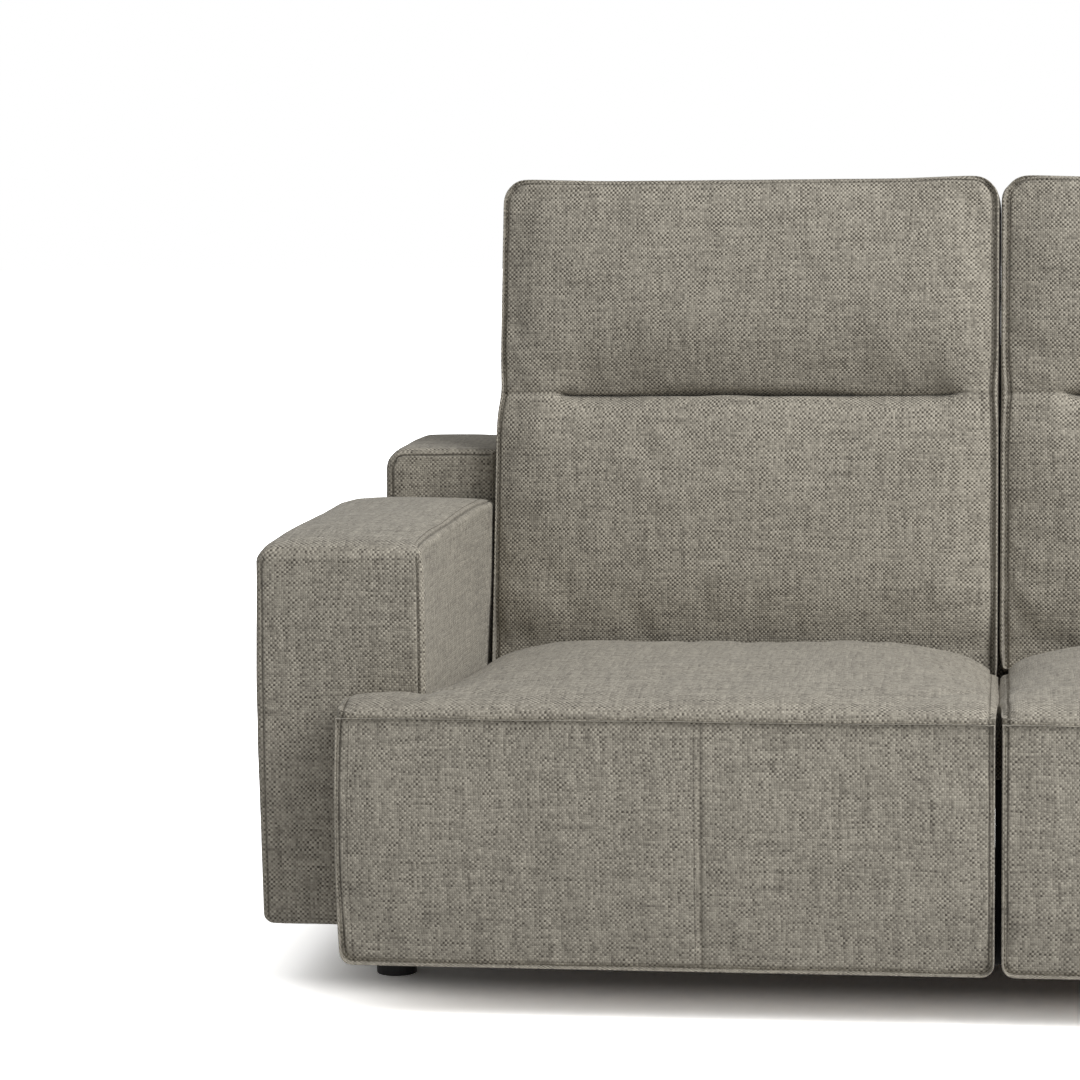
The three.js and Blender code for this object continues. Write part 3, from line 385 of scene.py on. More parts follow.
# A plain weave of light warp and dark weft, with slubs in both. How plainly its check shows changes slowly.
def buildWeave():
    tree, source, result = newGroup(
        "tweedWeave",
        [("Vector", "NodeSocketVector", None), ("Pitch", "NodeSocketFloat", 0.003),
         ("Light", "NodeSocketColor", (0.5, 0.5, 0.5, 1)), ("Dark", "NodeSocketColor", (0.1, 0.1, 0.1, 1)),
         ("Check", "NodeSocketFloat", 0.5), ("Slub", "NodeSocketFloat", 0.5),
         ("Clouds", "NodeSocketFloat", 0.12)],
        [("Color", "NodeSocketColor"), ("Height", "NodeSocketFloat"), ("Roughness", "NodeSocketFloat")],
    )
    get = source.outputs
    cells = vectorCalc(tree, "DIVIDE", get["Vector"], joinXyz(tree, get["Pitch"], get["Pitch"], 1.0))
    drift = tree.nodes.new("ShaderNodeTexNoise")
    feed(tree, drift.inputs["Vector"], cells)
    feed(tree, drift.inputs["Scale"], weave["driftScale"])
    feed(tree, drift.inputs["Detail"], 2.0)
    centred = vectorCalc(tree, "SUBTRACT", drift.outputs["Color"], (0.5, 0.5, 0.5))
    moved = vectorCalc(tree, "MULTIPLY", centred, weave["drift"])
    split = tree.nodes.new("ShaderNodeSeparateXYZ")
    feed(tree, split.inputs[0], vectorCalc(tree, "ADD", cells, moved))
    u, v = split.outputs[0], split.outputs[1]
    cellU, cellV = calc(tree, "FLOOR", u), calc(tree, "FLOOR", v)
    offU = times(tree, minus(tree, calc(tree, "FRACT", u), 0.5), 2.0)
    offV = times(tree, minus(tree, calc(tree, "FRACT", v), 0.5), 2.0)
    squareU, squareV = times(tree, offU, offU), times(tree, offV, offV)
    knot = times(tree, minus(tree, 1.0, squareU), minus(tree, 1.0, squareV))
    over = calc(tree, "PINGPONG", plus(tree, cellU, cellV), 1.0)
    side = calc(tree, "MULTIPLY_ADD", over, 2.0, -1.0)
    alongWarp, alongWeft = times(tree, v, weave["slubRun"]), times(tree, u, weave["slubRun"])
    warp = noiseOf(tree, joinXyz(tree, times(tree, cellU, weave["warpStep"]), alongWarp), 1.0)
    weft = noiseOf(tree, joinXyz(tree, alongWeft, times(tree, cellV, weave["weftStep"])), 1.0)
    speck = tree.nodes.new("ShaderNodeTexWhiteNoise")
    speck.noise_dimensions = "2D"
    feed(tree, speck.inputs["Vector"], joinXyz(tree, cellU, cellV))
    mottle = noiseOf(tree, get["Vector"], weave["patchScale"], 3.0)
    patches = calc(tree, "MULTIPLY_ADD", mottle, weave["patchGain"], weave["patchOffset"])
    plain = calc(tree, "MAXIMUM", patches, weave["leastCheck"])
    check = times(tree, times(tree, times(tree, knot, side), plain), get["Check"])
    slub = times(tree, minus(tree, plus(tree, warp, weft), 1.0), get["Slub"])
    dots = times(tree, minus(tree, speck.outputs["Value"], 0.5), weave["dots"])
    slow = noiseOf(tree, get["Vector"], weave["cloudScale"], 3.0)
    cloud = times(tree, minus(tree, slow, 0.5), get["Clouds"])
    share = plus(tree, plus(tree, check, slub), plus(tree, dots, cloud))
    share = plus(tree, share, 0.5, clamp=True)
    feed(tree, result.inputs["Color"], mixColour(tree, share, get["Dark"], get["Light"]))
    feed(tree, result.inputs["Height"], times(tree, knot, calc(tree, "MULTIPLY_ADD", side, 0.25, 0.75)))
    rough = minus(tree, weave["roughness"], times(tree, share, weave["gloss"]))
    feed(tree, result.inputs["Roughness"], rough)
    return tree


# Fine mottling for moulded and painted surfaces: a colour factor, a roughness offset and a height.
def buildGrain():
    tree, source, result = newGroup(
        "fineGrain",
        [("Vector", "NodeSocketVector", None), ("Scale", "NodeSocketFloat", 300.0),
         ("Base", "NodeSocketColor", (0.1, 0.1, 0.1, 1)), ("Spread", "NodeSocketFloat", 0.15),
         ("Roughness", "NodeSocketFloat", 0.5)],
        [("Color", "NodeSocketColor"), ("Height", "NodeSocketFloat"), ("Roughness", "NodeSocketFloat")],
    )
    get = source.outputs
    fine = noiseOf(tree, get["Vector"], get["Scale"], 4.0, 0.6)
    slow = noiseOf(tree, get["Vector"], times(tree, get["Scale"], 0.06), 2.0)
    level = plus(tree, times(tree, minus(tree, slow, 0.5), get["Spread"]), 1.0)
    scale = tree.nodes.new("ShaderNodeVectorMath")
    scale.operation = "SCALE"
    feed(tree, scale.inputs[0], get["Base"])
    feed(tree, scale.inputs["Scale"], level)
    feed(tree, result.inputs["Color"], scale.outputs[0])
    feed(tree, result.inputs["Height"], fine)
    rough = plus(tree, get["Roughness"], times(tree, minus(tree, fine, 0.5), 0.25))
    feed(tree, result.inputs["Roughness"], rough)
    return tree


def newMaterial(name):
    material = bpy.data.materials.new(name)
    material.use_nodes = True
    shader = material.node_tree.nodes["Principled BSDF"]
    return material, material.node_tree, shader


def addBump(tree, shader, height, strength, distance):
    bump = tree.nodes.new("ShaderNodeBump")
    bump.inputs["Strength"].default_value = strength
    bump.inputs["Distance"].default_value = distance
    feed(tree, bump.inputs["Height"], height)
    feed(tree, shader.inputs["Normal"], bump.outputs["Normal"])


def placeGroup(tree, group, vector, **values):
    node = tree.nodes.new("ShaderNodeGroup")
    node.node_tree = group
    feed(tree, node.inputs["Vector"], vector)
    for label, value in values.items():
        feed(tree, node.inputs[label], value)
    return node.outputs


weaveGroup, grainGroup = buildWeave(), buildGrain()

tweed = {
    "pitch": 0.00298, "light": (0.53, 0.49, 0.408, 1), "dark": (0.084, 0.074, 0.061, 1),
    "check": 0.5, "slub": 0.55, "clouds": 0.12, "seamShade": 0.6, "seamShadeColour": (0.035, 0.029, 0.022, 1),
    "frontCheck": 0.28, "armCheck": 0.36, "seatCheck": 0.3,
    "sheen": 0.12, "specular": 0.2, "relief": 0.0008,
}


def tweedMaterial(name, check):
    material, tree, shader = newMaterial(name)
    coords = tree.nodes.new("ShaderNodeTexCoord").outputs["UV"]
    made = placeGroup(tree, weaveGroup, coords, Pitch=tweed["pitch"], Light=tweed["light"],
                      Dark=tweed["dark"], Check=check, Slub=tweed["slub"], Clouds=tweed["clouds"])
    # The seam attribute mixes the cloth towards a near-black colour: painted shade in the seams and the back's
    # fold.
    seam = tree.nodes.new("ShaderNodeAttribute")
    seam.attribute_name = "seam"
    shade = times(tree, seam.outputs["Fac"], tweed["seamShade"])
    feed(tree, shader.inputs["Base Color"], mixColour(tree, shade, made["Color"], tweed["seamShadeColour"]))
    feed(tree, shader.inputs["Roughness"], made["Roughness"])
    shader.inputs["Sheen Weight"].default_value = tweed["sheen"]
    shader.inputs["Sheen Roughness"].default_value = 0.5
    shader.inputs["Specular IOR Level"].default_value = tweed["specular"]
    addBump(tree, shader, made["Height"], 0.6, tweed["relief"])
    return material


def mouldedMaterial(name, colour, roughness, metallic=0.0, scale=900.0, bump=0.25, spread=0.2):
    material, tree, shader = newMaterial(name)
    coords = tree.nodes.new("ShaderNodeTexCoord").outputs["Object"]
    made = placeGroup(tree, grainGroup, coords, Scale=scale, Base=(*colour, 1), Spread=spread,
                      Roughness=roughness)
    feed(tree, shader.inputs["Base Color"], made["Color"])
    feed(tree, shader.inputs["Roughness"], made["Roughness"])
    shader.inputs["Metallic"].default_value = metallic
    addBump(tree, shader, made["Height"], bump, 0.0002)
    return material


wood = {
    "dark": (0.36, 0.22, 0.12, 1), "light": (0.66, 0.47, 0.29, 1),
    "grain": (6.0, 60.0, 60.0), "figure": (1.5, 9.0, 9.0),
}


def plywoodMaterial():
    material, tree, shader = newMaterial("birchPlywood")
    coords = tree.nodes.new("ShaderNodeTexCoord").outputs["Object"]
    grain = noiseOf(tree, vectorCalc(tree, "MULTIPLY", coords, wood["grain"]), 1.0, 6.0, 0.65)
    figure = noiseOf(tree, vectorCalc(tree, "MULTIPLY", coords, wood["figure"]), 1.0, 2.0)
    share = plus(tree, times(tree, grain, 0.7), times(tree, figure, 0.5), clamp=True)
    feed(tree, shader.inputs["Base Color"], mixColour(tree, share, wood["dark"], wood["light"]))
    feed(tree, shader.inputs["Roughness"], plus(tree, times(tree, grain, 0.2), 0.6))
    addBump(tree, shader, grain, 0.3, 0.0004)
    return material


tweedCloth = tweedMaterial("greyTweed", tweed["check"])
frontCloth = tweedMaterial("greyTweedFront", tweed["frontCheck"])
armCloth = tweedMaterial("greyTweedArm", tweed["armCheck"])
seatCloth = tweedMaterial("greyTweedSeat", tweed["seatCheck"])
threadDark = mouldedMaterial("seamThread", (0.13, 0.115, 0.093), 0.8, scale=2000.0, bump=0.4)
plywood = plywoodMaterial()
steel = mouldedMaterial("graphiteSteel", (0.07, 0.07, 0.075), 0.45, 0.7, scale=700.0)
blackPlastic = mouldedMaterial("blackPlastic", (0.018, 0.018, 0.019), 0.5, scale=1500.0)
feetPlastic = mouldedMaterial("feetPlastic", (0.014, 0.013, 0.012), 0.42, scale=1200.0)
trayPlastic = mouldedMaterial("trayPlastic", (0.028, 0.025, 0.022), 0.38, scale=1600.0)
cupSteel = mouldedMaterial("cupSteel", (0.6, 0.6, 0.59), 0.25, 1.0, scale=1200.0, bump=0.08)
print("materials made")


# Stitches

stitch = {"length": 3.4, "thickness": 0.9, "pitch": 4.8, "lift": 0.15, "taper": 1.2}


# A row of stitches laid on a piece: points on a path outside it are dropped on it along a direction.
def sewRow(path, direction, tree):
    path = [Vector(p) for p in path]
    direction = Vector(direction).normalized()
    spots = []
    carry = 0.0
    for a, b in zip(path, path[1:]):
        length = (b - a).length
        along = carry
        while along < length:
            spots.append((a + (b - a) * along / length, (b - a).normalized()))
            along += stitch["pitch"] * mm
        carry = along - length
    made = []
    for spot, run in spots:
        place, normal, _, _ = tree.ray_cast(spot, direction)
        if place is None:
            continue
        run = (run - normal * run.dot(normal)).normalized()
        made.append((place + normal * stitch["lift"] * mm, run, normal))
    return made


def stitchMesh(spots, name):
    clearSelection()
    bpy.ops.mesh.primitive_cylinder_add(vertices=6, radius=0.5, depth=1)
    template = bpy.context.object
    bpy.ops.object.mode_set(mode="EDIT")
    bpy.ops.mesh.select_all(action="SELECT")
    bpy.ops.mesh.subdivide(number_cuts=1)
    bpy.ops.object.mode_set(mode="OBJECT")
    shape = coordsOf(template)
    shape[:, :2] *= (1 - stitch["taper"] * np.abs(shape[:, 2:3]) ** 2)
    faces = [list(p.vertices) for p in template.data.polygons]
    bpy.ops.object.delete()
    shape *= np.array([stitch["thickness"], stitch["thickness"], stitch["length"]]) * mm
    points, polygons = [], []
    for place, run, normal in spots:
        side = run.cross(normal)
        basis = np.array([side, normal, run])
        polygons += [[k + len(points) * len(shape) for k in face] for face in faces]
        points.append(shape @ basis + np.array(place))
    mesh = bpy.data.meshes.new(name)
    mesh.from_pydata(np.concatenate(points).tolist(), [], polygons)
    made = bpy.data.objects.new(name, mesh)
    bpy.context.collection.objects.link(made)
    mesh.materials.append(threadDark)
    return made


# Joins rows of stitches into the piece that they are sewn on.
def sew(piece, rows):
    tree = BVHTree.FromObject(piece, bpy.context.evaluated_depsgraph_get())
    spots = [spot for path, direction in rows for spot in sewRow(path, direction, tree)]
    if not spots:
        return
    thread = stitchMesh(spots, piece.name + "Thread")
    activate(piece)
    thread.select_set(True)
    bpy.ops.object.join()
    clearSelection()


# Backs

lean = {"angle": 12, "pivotY": 197.597, "pivotZ": 290.3}


# Places in a back's own upright frame, turned and moved to where the back leans.
def leaned(places, centreX):
    angle = math.radians(lean["angle"])
    y, z = places[:, 1], places[:, 2]
    return np.stack([
        places[:, 0] + centreX,
        lean["pivotY"] + y * math.cos(angle) + z * math.sin(angle),
        lean["pivotZ"] - y * math.sin(angle) + z * math.cos(angle),
    ], 1)


# Pairs for waves and puckers are height and size. The fold's ends are measured from the outer and inner side.
# The lower end rolls away from one height to another by a depth, and the tuck and the painted shade above the
# fold are depth and reach.
back = {
    "half": 351, "front": 90, "rear": 70, "bottom": 29, "top": 730, "crease": 427,
    "corners": (7, 7, 34, 34), "edge": 10, "seam": 6.4, "seamDepth": 2.6, "seamWidth": 1.5, "cell": 15,
    "lowerBulge": 21, "upperBulge": 19, "foldUnder": 50, "foldOver": 15, "foldReach": 100, "overhang": 10,
    "foldEnds": (86, 56), "topDip": 3, "pinch": 3, "sideSwell": 4.5, "outerInset": (6, 10), "fullness": 3.2,
    "sideRoll": (80, 10), "bulgeFrom": 72, "lowerEnd": (150, 60, 12), "tuck": (7, 6),
    "foldShade": (0.5, 18), "foldSpread": (0.2, 0.9, 80), "hangAt": 14, "hangReach": 13,
    "dipEnds": (0.55, 0.93), "dipReach": 160, "pinchReach": 34, "creaseSwell": (0.09, 50),
    "creaseDepth": 1.2, "held": 20,
    "hemRows": [0, 2.2, 4.2, 5.5, 6.4, 7.3, 8.6, 10.5, 14, 19, 26, 34],
    "foldRows": [-34, -24, -16, -10, -6, -3, -1, 1, 3, 6, 10, 16, 24, 34, 46, 60],
    "slowWaves": (1.1, 130), "dents": (0.4, 38), "hemPuckers": (0.9, 16), "creasePuckers": (0.5, 34),
}


# How far an end seat's back is drawn in on the arm's side, below the crease and above it.
def drawnIn(insets, above, u):
    inwards = insets[0] + (insets[1] - insets[0]) * smooth(above, -40, 10)
    return inwards * np.clip(-u, 0, 1) ** 2


# One upholstered back from seat to top: a lower cushion, a deep fold and a headrest pillow above it.
def backPiece(name, centreX, half, front, rear, bottom, swells, outerInset=None, rearSteps=None):
    b = back
    low, high = np.array([-half, -front, bottom], float), np.array([half, rear, b["top"]], float)
    upright = [b["crease"] + d for d in b["foldRows"]] + (rearSteps["rows"] if rearSteps else [])
    rows = [
        rowsAlong(low[0], high[0], b["hemRows"], b["cell"]),
        rowsAlong(low[1], high[1], [0, 2.5, 5, 7.5, b["edge"]], 24),
        rowsAlong(low[2], high[2], b["hemRows"], b["cell"], upright),
    ]
    piece, grid = cutBlock(name, rows)
    places, inset, facing = roundBlock(grid, low, high, 1, b["corners"], b["edge"])
    x, z = grid[:, 0], grid[:, 2]
    u, above = x / half, z - b["crease"]
    lowerV = np.clip(2 * (z - b["bulgeFrom"]) / (b["crease"] - b["bulgeFrom"]) - 1, -1, 1)
    upperV = np.clip(2 * above / (b["top"] - b["crease"]) - 1, -1, 1)
    bulge = np.where(above < 0, b["lowerBulge"] * fullness(u, lowerV, b["fullness"]),
                     b["upperBulge"] * fullness(u, upperV, b["fullness"]))
    rollFrom, rollTo, endDepth = b["lowerEnd"]
    bulge -= endDepth * smooth(-z, -rollFrom, -rollTo)
    rollReach, rollDepth = b["sideRoll"]
    bulge -= rollDepth * np.clip(1 - (half - np.abs(x)) / rollReach, 0, 1) ** 2
    # The fold is deep across the middle and closes to a bare seam by both ends, sooner higher up.
    outerGap, innerGap = b["foldEnds"]
    slope, steep, highest = b["foldSpread"]
    rise = np.clip(above, 0, highest)
    ends = smooth(x + half, outerGap - 9 + slope * rise, outerGap + 13 + steep * rise)
    ends *= smooth(half - x, innerGap - 12 + slope * rise, innerGap + 16 + steep * rise)
    ends = 0.05 + 0.95 * ends
    under = np.where(above >= 0, (1 - np.clip(above / b["foldReach"], 0, 1)) ** 1.6, 0)
    over = np.where(above < 0, np.exp(-(np.abs(above) / 10.0) ** 1.1), 0)
    meet = (b["foldOver"] + b["foldUnder"]) / 2
    onFront = (facing < 1e-6) & (grid[:, 1] < (rear - front) / 2)
    tuckDepth, tuckReach = b["tuck"]
    upper = under * (meet - tuckDepth) + tuckDepth * np.exp(-above / tuckReach)
    fold = np.where(above >= 0, upper, over * meet)
    places[:, 1] += np.where(onFront, fold * ends - bulge, 0)
    hang = b["overhang"] * np.exp(-((above - b["hangAt"]) / b["hangReach"]) ** 2) * (above > 0) * ends
    places[:, 2] -= np.where(onFront, hang, 0)
    # Corners stand a little proud of the top edge. The sides draw in at the fold and swell behind the seam.
    topShare = smooth(z, b["top"] - b["dipReach"], b["top"])
    places[:, 2] -= b["topDip"] * topShare * (1 - smooth(np.abs(u), *b["dipEnds"]))
    depth = np.clip((grid[:, 1] - low[1]) / (high[1] - low[1]), 0, 1)
    pinch = b["pinch"] * np.exp(-(above / b["pinchReach"]) ** 2) * (1 - smooth(grid[:, 1] - low[1], 2, 18))
    places[:, 0] *= 1 - pinch / half
    swell = np.where(u < 0, swells[0], swells[1]) * np.sin(np.pi * depth) ** 0.6
    extra, extraReach = b["creaseSwell"]
    rim = smooth(z, bottom, bottom + 30) * smooth(b["top"] - z, 4, 28)
    swell *= rim * (1 + extra * np.exp(-(above / extraReach) ** 2))
    places[:, 0] += np.sign(u) * swell * (np.abs(u) > 0.9999)
    # An end seat's back is a little narrower on the arm's side, most of all at the headrest.
    if outerInset:
        places[:, 0] += drawnIn(outerInset, above, u)
    if rearSteps:
        atRear = grid[:, 1] > (rear - front) / 2
        for lowZ, highZ, value in rearSteps["steps"]:
            inStep = atRear & (z >= lowZ) & (z <= highZ)
            places[:, 1] = np.where(inStep, places[:, 1] + value - rear, places[:, 1])
    setCoords(piece, leaned(places, centreX) * mm)
    hem = np.minimum(half - np.abs(x), high[2] - z)
    atSeam = (hem < b["seam"] + 1.5) | (np.abs(above) < 4)
    fillOut(piece, ~onFront | atSeam | (z < bottom + b["held"]))
    seamLine = groove(hem - b["seam"], b["seamWidth"]) * (facing < b["edge"])
    creaseLine = groove(above + 1, 2.2) * onFront
    amount = -b["seamDepth"] * seamLine - b["creaseDepth"] * creaseLine * (1 - ends)
    offSide = np.where(inset > 0.5, 1, 0.2)
    amount += ripple(places, b["slowWaves"], 1) * onFront + ripple(places, b["dents"], 2) * offSide
    amount += ripple(places * [1, 0.2, 1], b["hemPuckers"], 3) * np.exp(-inset / 16) * (inset > 0.5)
    puckers = ripple(places * [1, 0.2, 0.3], b["creasePuckers"], 5)
    amount += puckers * np.exp(-np.abs(above) / 30) * onFront * (0.3 + ends)
    pushOut(piece, amount)
    # Painted shade: the cloth is darkened along the seams, in the crease line and on the pillow's underside
    # above the fold.
    shadeShare, shadeReach = b["foldShade"]
    foldShade = np.where(above >= 0, shadeShare * np.exp(-above / shadeReach), 0) * ends
    creaseShade = groove(above + 0.5, 2.8) * (0.35 + 0.65 * ends)
    paintShade(piece, seamLine * 0.65 + (creaseShade + foldShade) * onFront)
    return piece


# The path of a stitch row a little inside a back's outline, in front of it.
def outlinePath(half, bottom, top, inset, centreX, front, outerInset):
    steps, points = 8, []
    x, z, radius = half - inset, top - inset, back["corners"][2] - inset
    for k in range(steps + 1):
        angle = math.pi / 2 * k / steps
        across, up = radius * math.cos(angle), radius * math.sin(angle)
        points.append((-x + radius - across, -front, z - radius + up))
    right = [(-p[0], p[1], p[2]) for p in reversed(points)]
    side = [(-x, -front, bottom + 20), (-x, -front, back["crease"] - 40), (-x, -front, back["crease"] + 10)]
    points = np.array([*side, *points, *right, (x, -front, bottom + 20)])
    if outerInset:
        points[:, 0] += drawnIn(outerInset, points[:, 2] - back["crease"], points[:, 0] / half)
    return leaned(points, centreX) * mm


castBack = (0, math.cos(math.radians(lean["angle"])), -math.sin(math.radians(lean["angle"])))


def finishBack(piece, centreX, half, bottom, outerInset=None):
    finishSoft(piece, tweedCloth)
    path = outlinePath(half, bottom, back["top"], back["seam"] - 0.2, centreX, 160, outerInset)
    sew(piece, [(path, castBack)])


endCentre = 660
leftBack = backPiece("leftBackUpholstery", -endCentre, back["half"], back["front"], back["rear"],
                     back["bottom"], (0, back["sideSwell"]), back["outerInset"])
finishBack(leftBack, -endCentre, back["half"], back["bottom"], back["outerInset"])
rightBack = mirrored(leftBack, "rightBackUpholstery")
for word, piece in (("left", leftBack), ("right", rightBack)):
    nodes = ("back_cushion", "headrest_cushion", "back_cover", "headrest_cover")
    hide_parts(*(f"{word}_{node}" for node in nodes))
    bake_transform(piece)

# The console's back is a thin cushion with a deeper tail below and a deeper cap on top.
consoleBack = {
    "half": 301, "cushionRear": -46.3, "bottom": 44, "tailTop": 83, "tailRear": -16,
    "capFrom": 715, "capRear": 9, "swell": 4.52,
}
tailTop, capFrom = consoleBack["tailTop"], consoleBack["capFrom"]
steps = {
    "rows": [tailTop, tailTop + 2, capFrom - 2, capFrom],
    "steps": [(0, tailTop, consoleBack["tailRear"]), (capFrom, 1000, consoleBack["capRear"])],
}
middleBack = backPiece("consoleBackUpholstery", 0, consoleBack["half"], back["front"],
                       consoleBack["cushionRear"], consoleBack["bottom"], (consoleBack["swell"],) * 2,
                       rearSteps=steps)
finishBack(middleBack, 0, consoleBack["half"], consoleBack["bottom"])
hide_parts("console_lower_cushion", "console_upper_cushion")
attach(middleBack, "console")
print("backs made")


# Seats

# Rolls are how far in from an edge the top starts to fall and how far it falls there.
# Edge and crown heights are those at the lip's rear, the middle and the back. Ranges of a swell are heights.
seat = {
    "frontY": -476.49, "rearY": 95.5, "rearTopY": 112, "bottom": 300.6, "lipBottom": 376.6, "stepY": -386.5,
    "earReach": 87, "earDepth": 109, "corner": 16, "seam": 6.4, "seamDepth": 2.8, "seamWidth": 1.5,
    "edgeHeights": (96, 61, 49), "crownHeights": (6, 57, 41), "power": 5.5, "cell": 15,
    "rolls": {"front": (58, 17), "side": (28, 10), "ear": (34, 5), "rear": (40, 8), "armSide": (8, 5)},
    "frontBow": (15, 12), "bowAt": 225, "bowReach": 175,
    "sideSwell": 4.3, "armSwell": 2.4, "pucker": 2.4, "earOut": 5, "bow": 5,
    "hemRows": [0, 0.5, 1.5, 3, 4.4, 5.5, 6.4, 7.3, 8.6, 11, 15, 20, 27, 35],
    "layers": [0, 0.015, 0.25, 0.5, 0.75, 0.93, 1], "earRows": (1, 6, 14), "earSteps": (20, 36, 52),
    "lipCrown": 0.3, "lipLine": (377, 388), "lipSwell": (378, 396), "deckSwell": (322, 356),
    "lipPucker": (380, 396), "deckPucker": (340, 372), "puckerSize": 30, "puckerShare": 0.6,
    "leanFrom": -100, "leanRise": 60, "slowWaves": (1.4, 140), "dents": (0.45, 42), "hemPuckers": (1.0, 15),
}


def bend(heights, share):
    first, middle, last = heights
    return first * (1 - share) ** 2 + 2 * middle * share * (1 - share) + last * share ** 2


# The seam between a seat's lip and the front below it isn't quite straight.
def lipWave(x):
    return 1.1 * np.array([noise.noise(Vector((value / 70, 3.3, 0.7))) for value in np.asarray(x)])


# The outer side of an end seat's front swells a little between the floor and the cushion's top.
def bow(z):
    return np.clip(1 - ((z - seat["bowAt"]) / seat["bowReach"]) ** 2, 0, 1)


# The front stands furthest out at mid height, and draws back towards the floor and the cushion's top.
def recess(z):
    below, above = seat["frontBow"]
    away = z - seat["bowAt"]
    return np.where(away < 0, below, above) * np.clip(np.abs(away) / seat["bowReach"], 0, 1) ** 2


# The side wall of a seat's front rows is drawn out to make the ear.
def drawEar(piece, earRear):
    activate(piece)
    bpy.ops.object.mode_set(mode="EDIT")
    bpy.ops.mesh.select_mode(type="FACE")
    bpy.ops.mesh.select_all(action="DESELECT")
    mesh = bmesh.from_edit_mesh(piece.data)
    for face in mesh.faces:
        middle = face.calc_center_median() / mm
        if face.normal.x < -0.5 and middle.y < earRear:
            face.select_set(True)
    bmesh.update_edit_mesh(piece.data)
    edge = [seat["earReach"] - i for i in seat["hemRows"][-2::-1]]
    reached = 0
    for reach in [*seat["earSteps"], seat["earReach"] - 26, *edge]:
        bpy.ops.mesh.extrude_region_move(TRANSFORM_OT_translate={"value": ((reached - reach) * mm, 0, 0)})
        reached = reach
    bpy.ops.object.mode_set(mode="OBJECT")
    return coordsOf(piece) / mm


# How far a point is into the roll along an edge, from 1 at the edge to 0 where the roll ends.
def fall(distance, roll):
    return np.clip(1 - distance / roll[0], 0, 1)


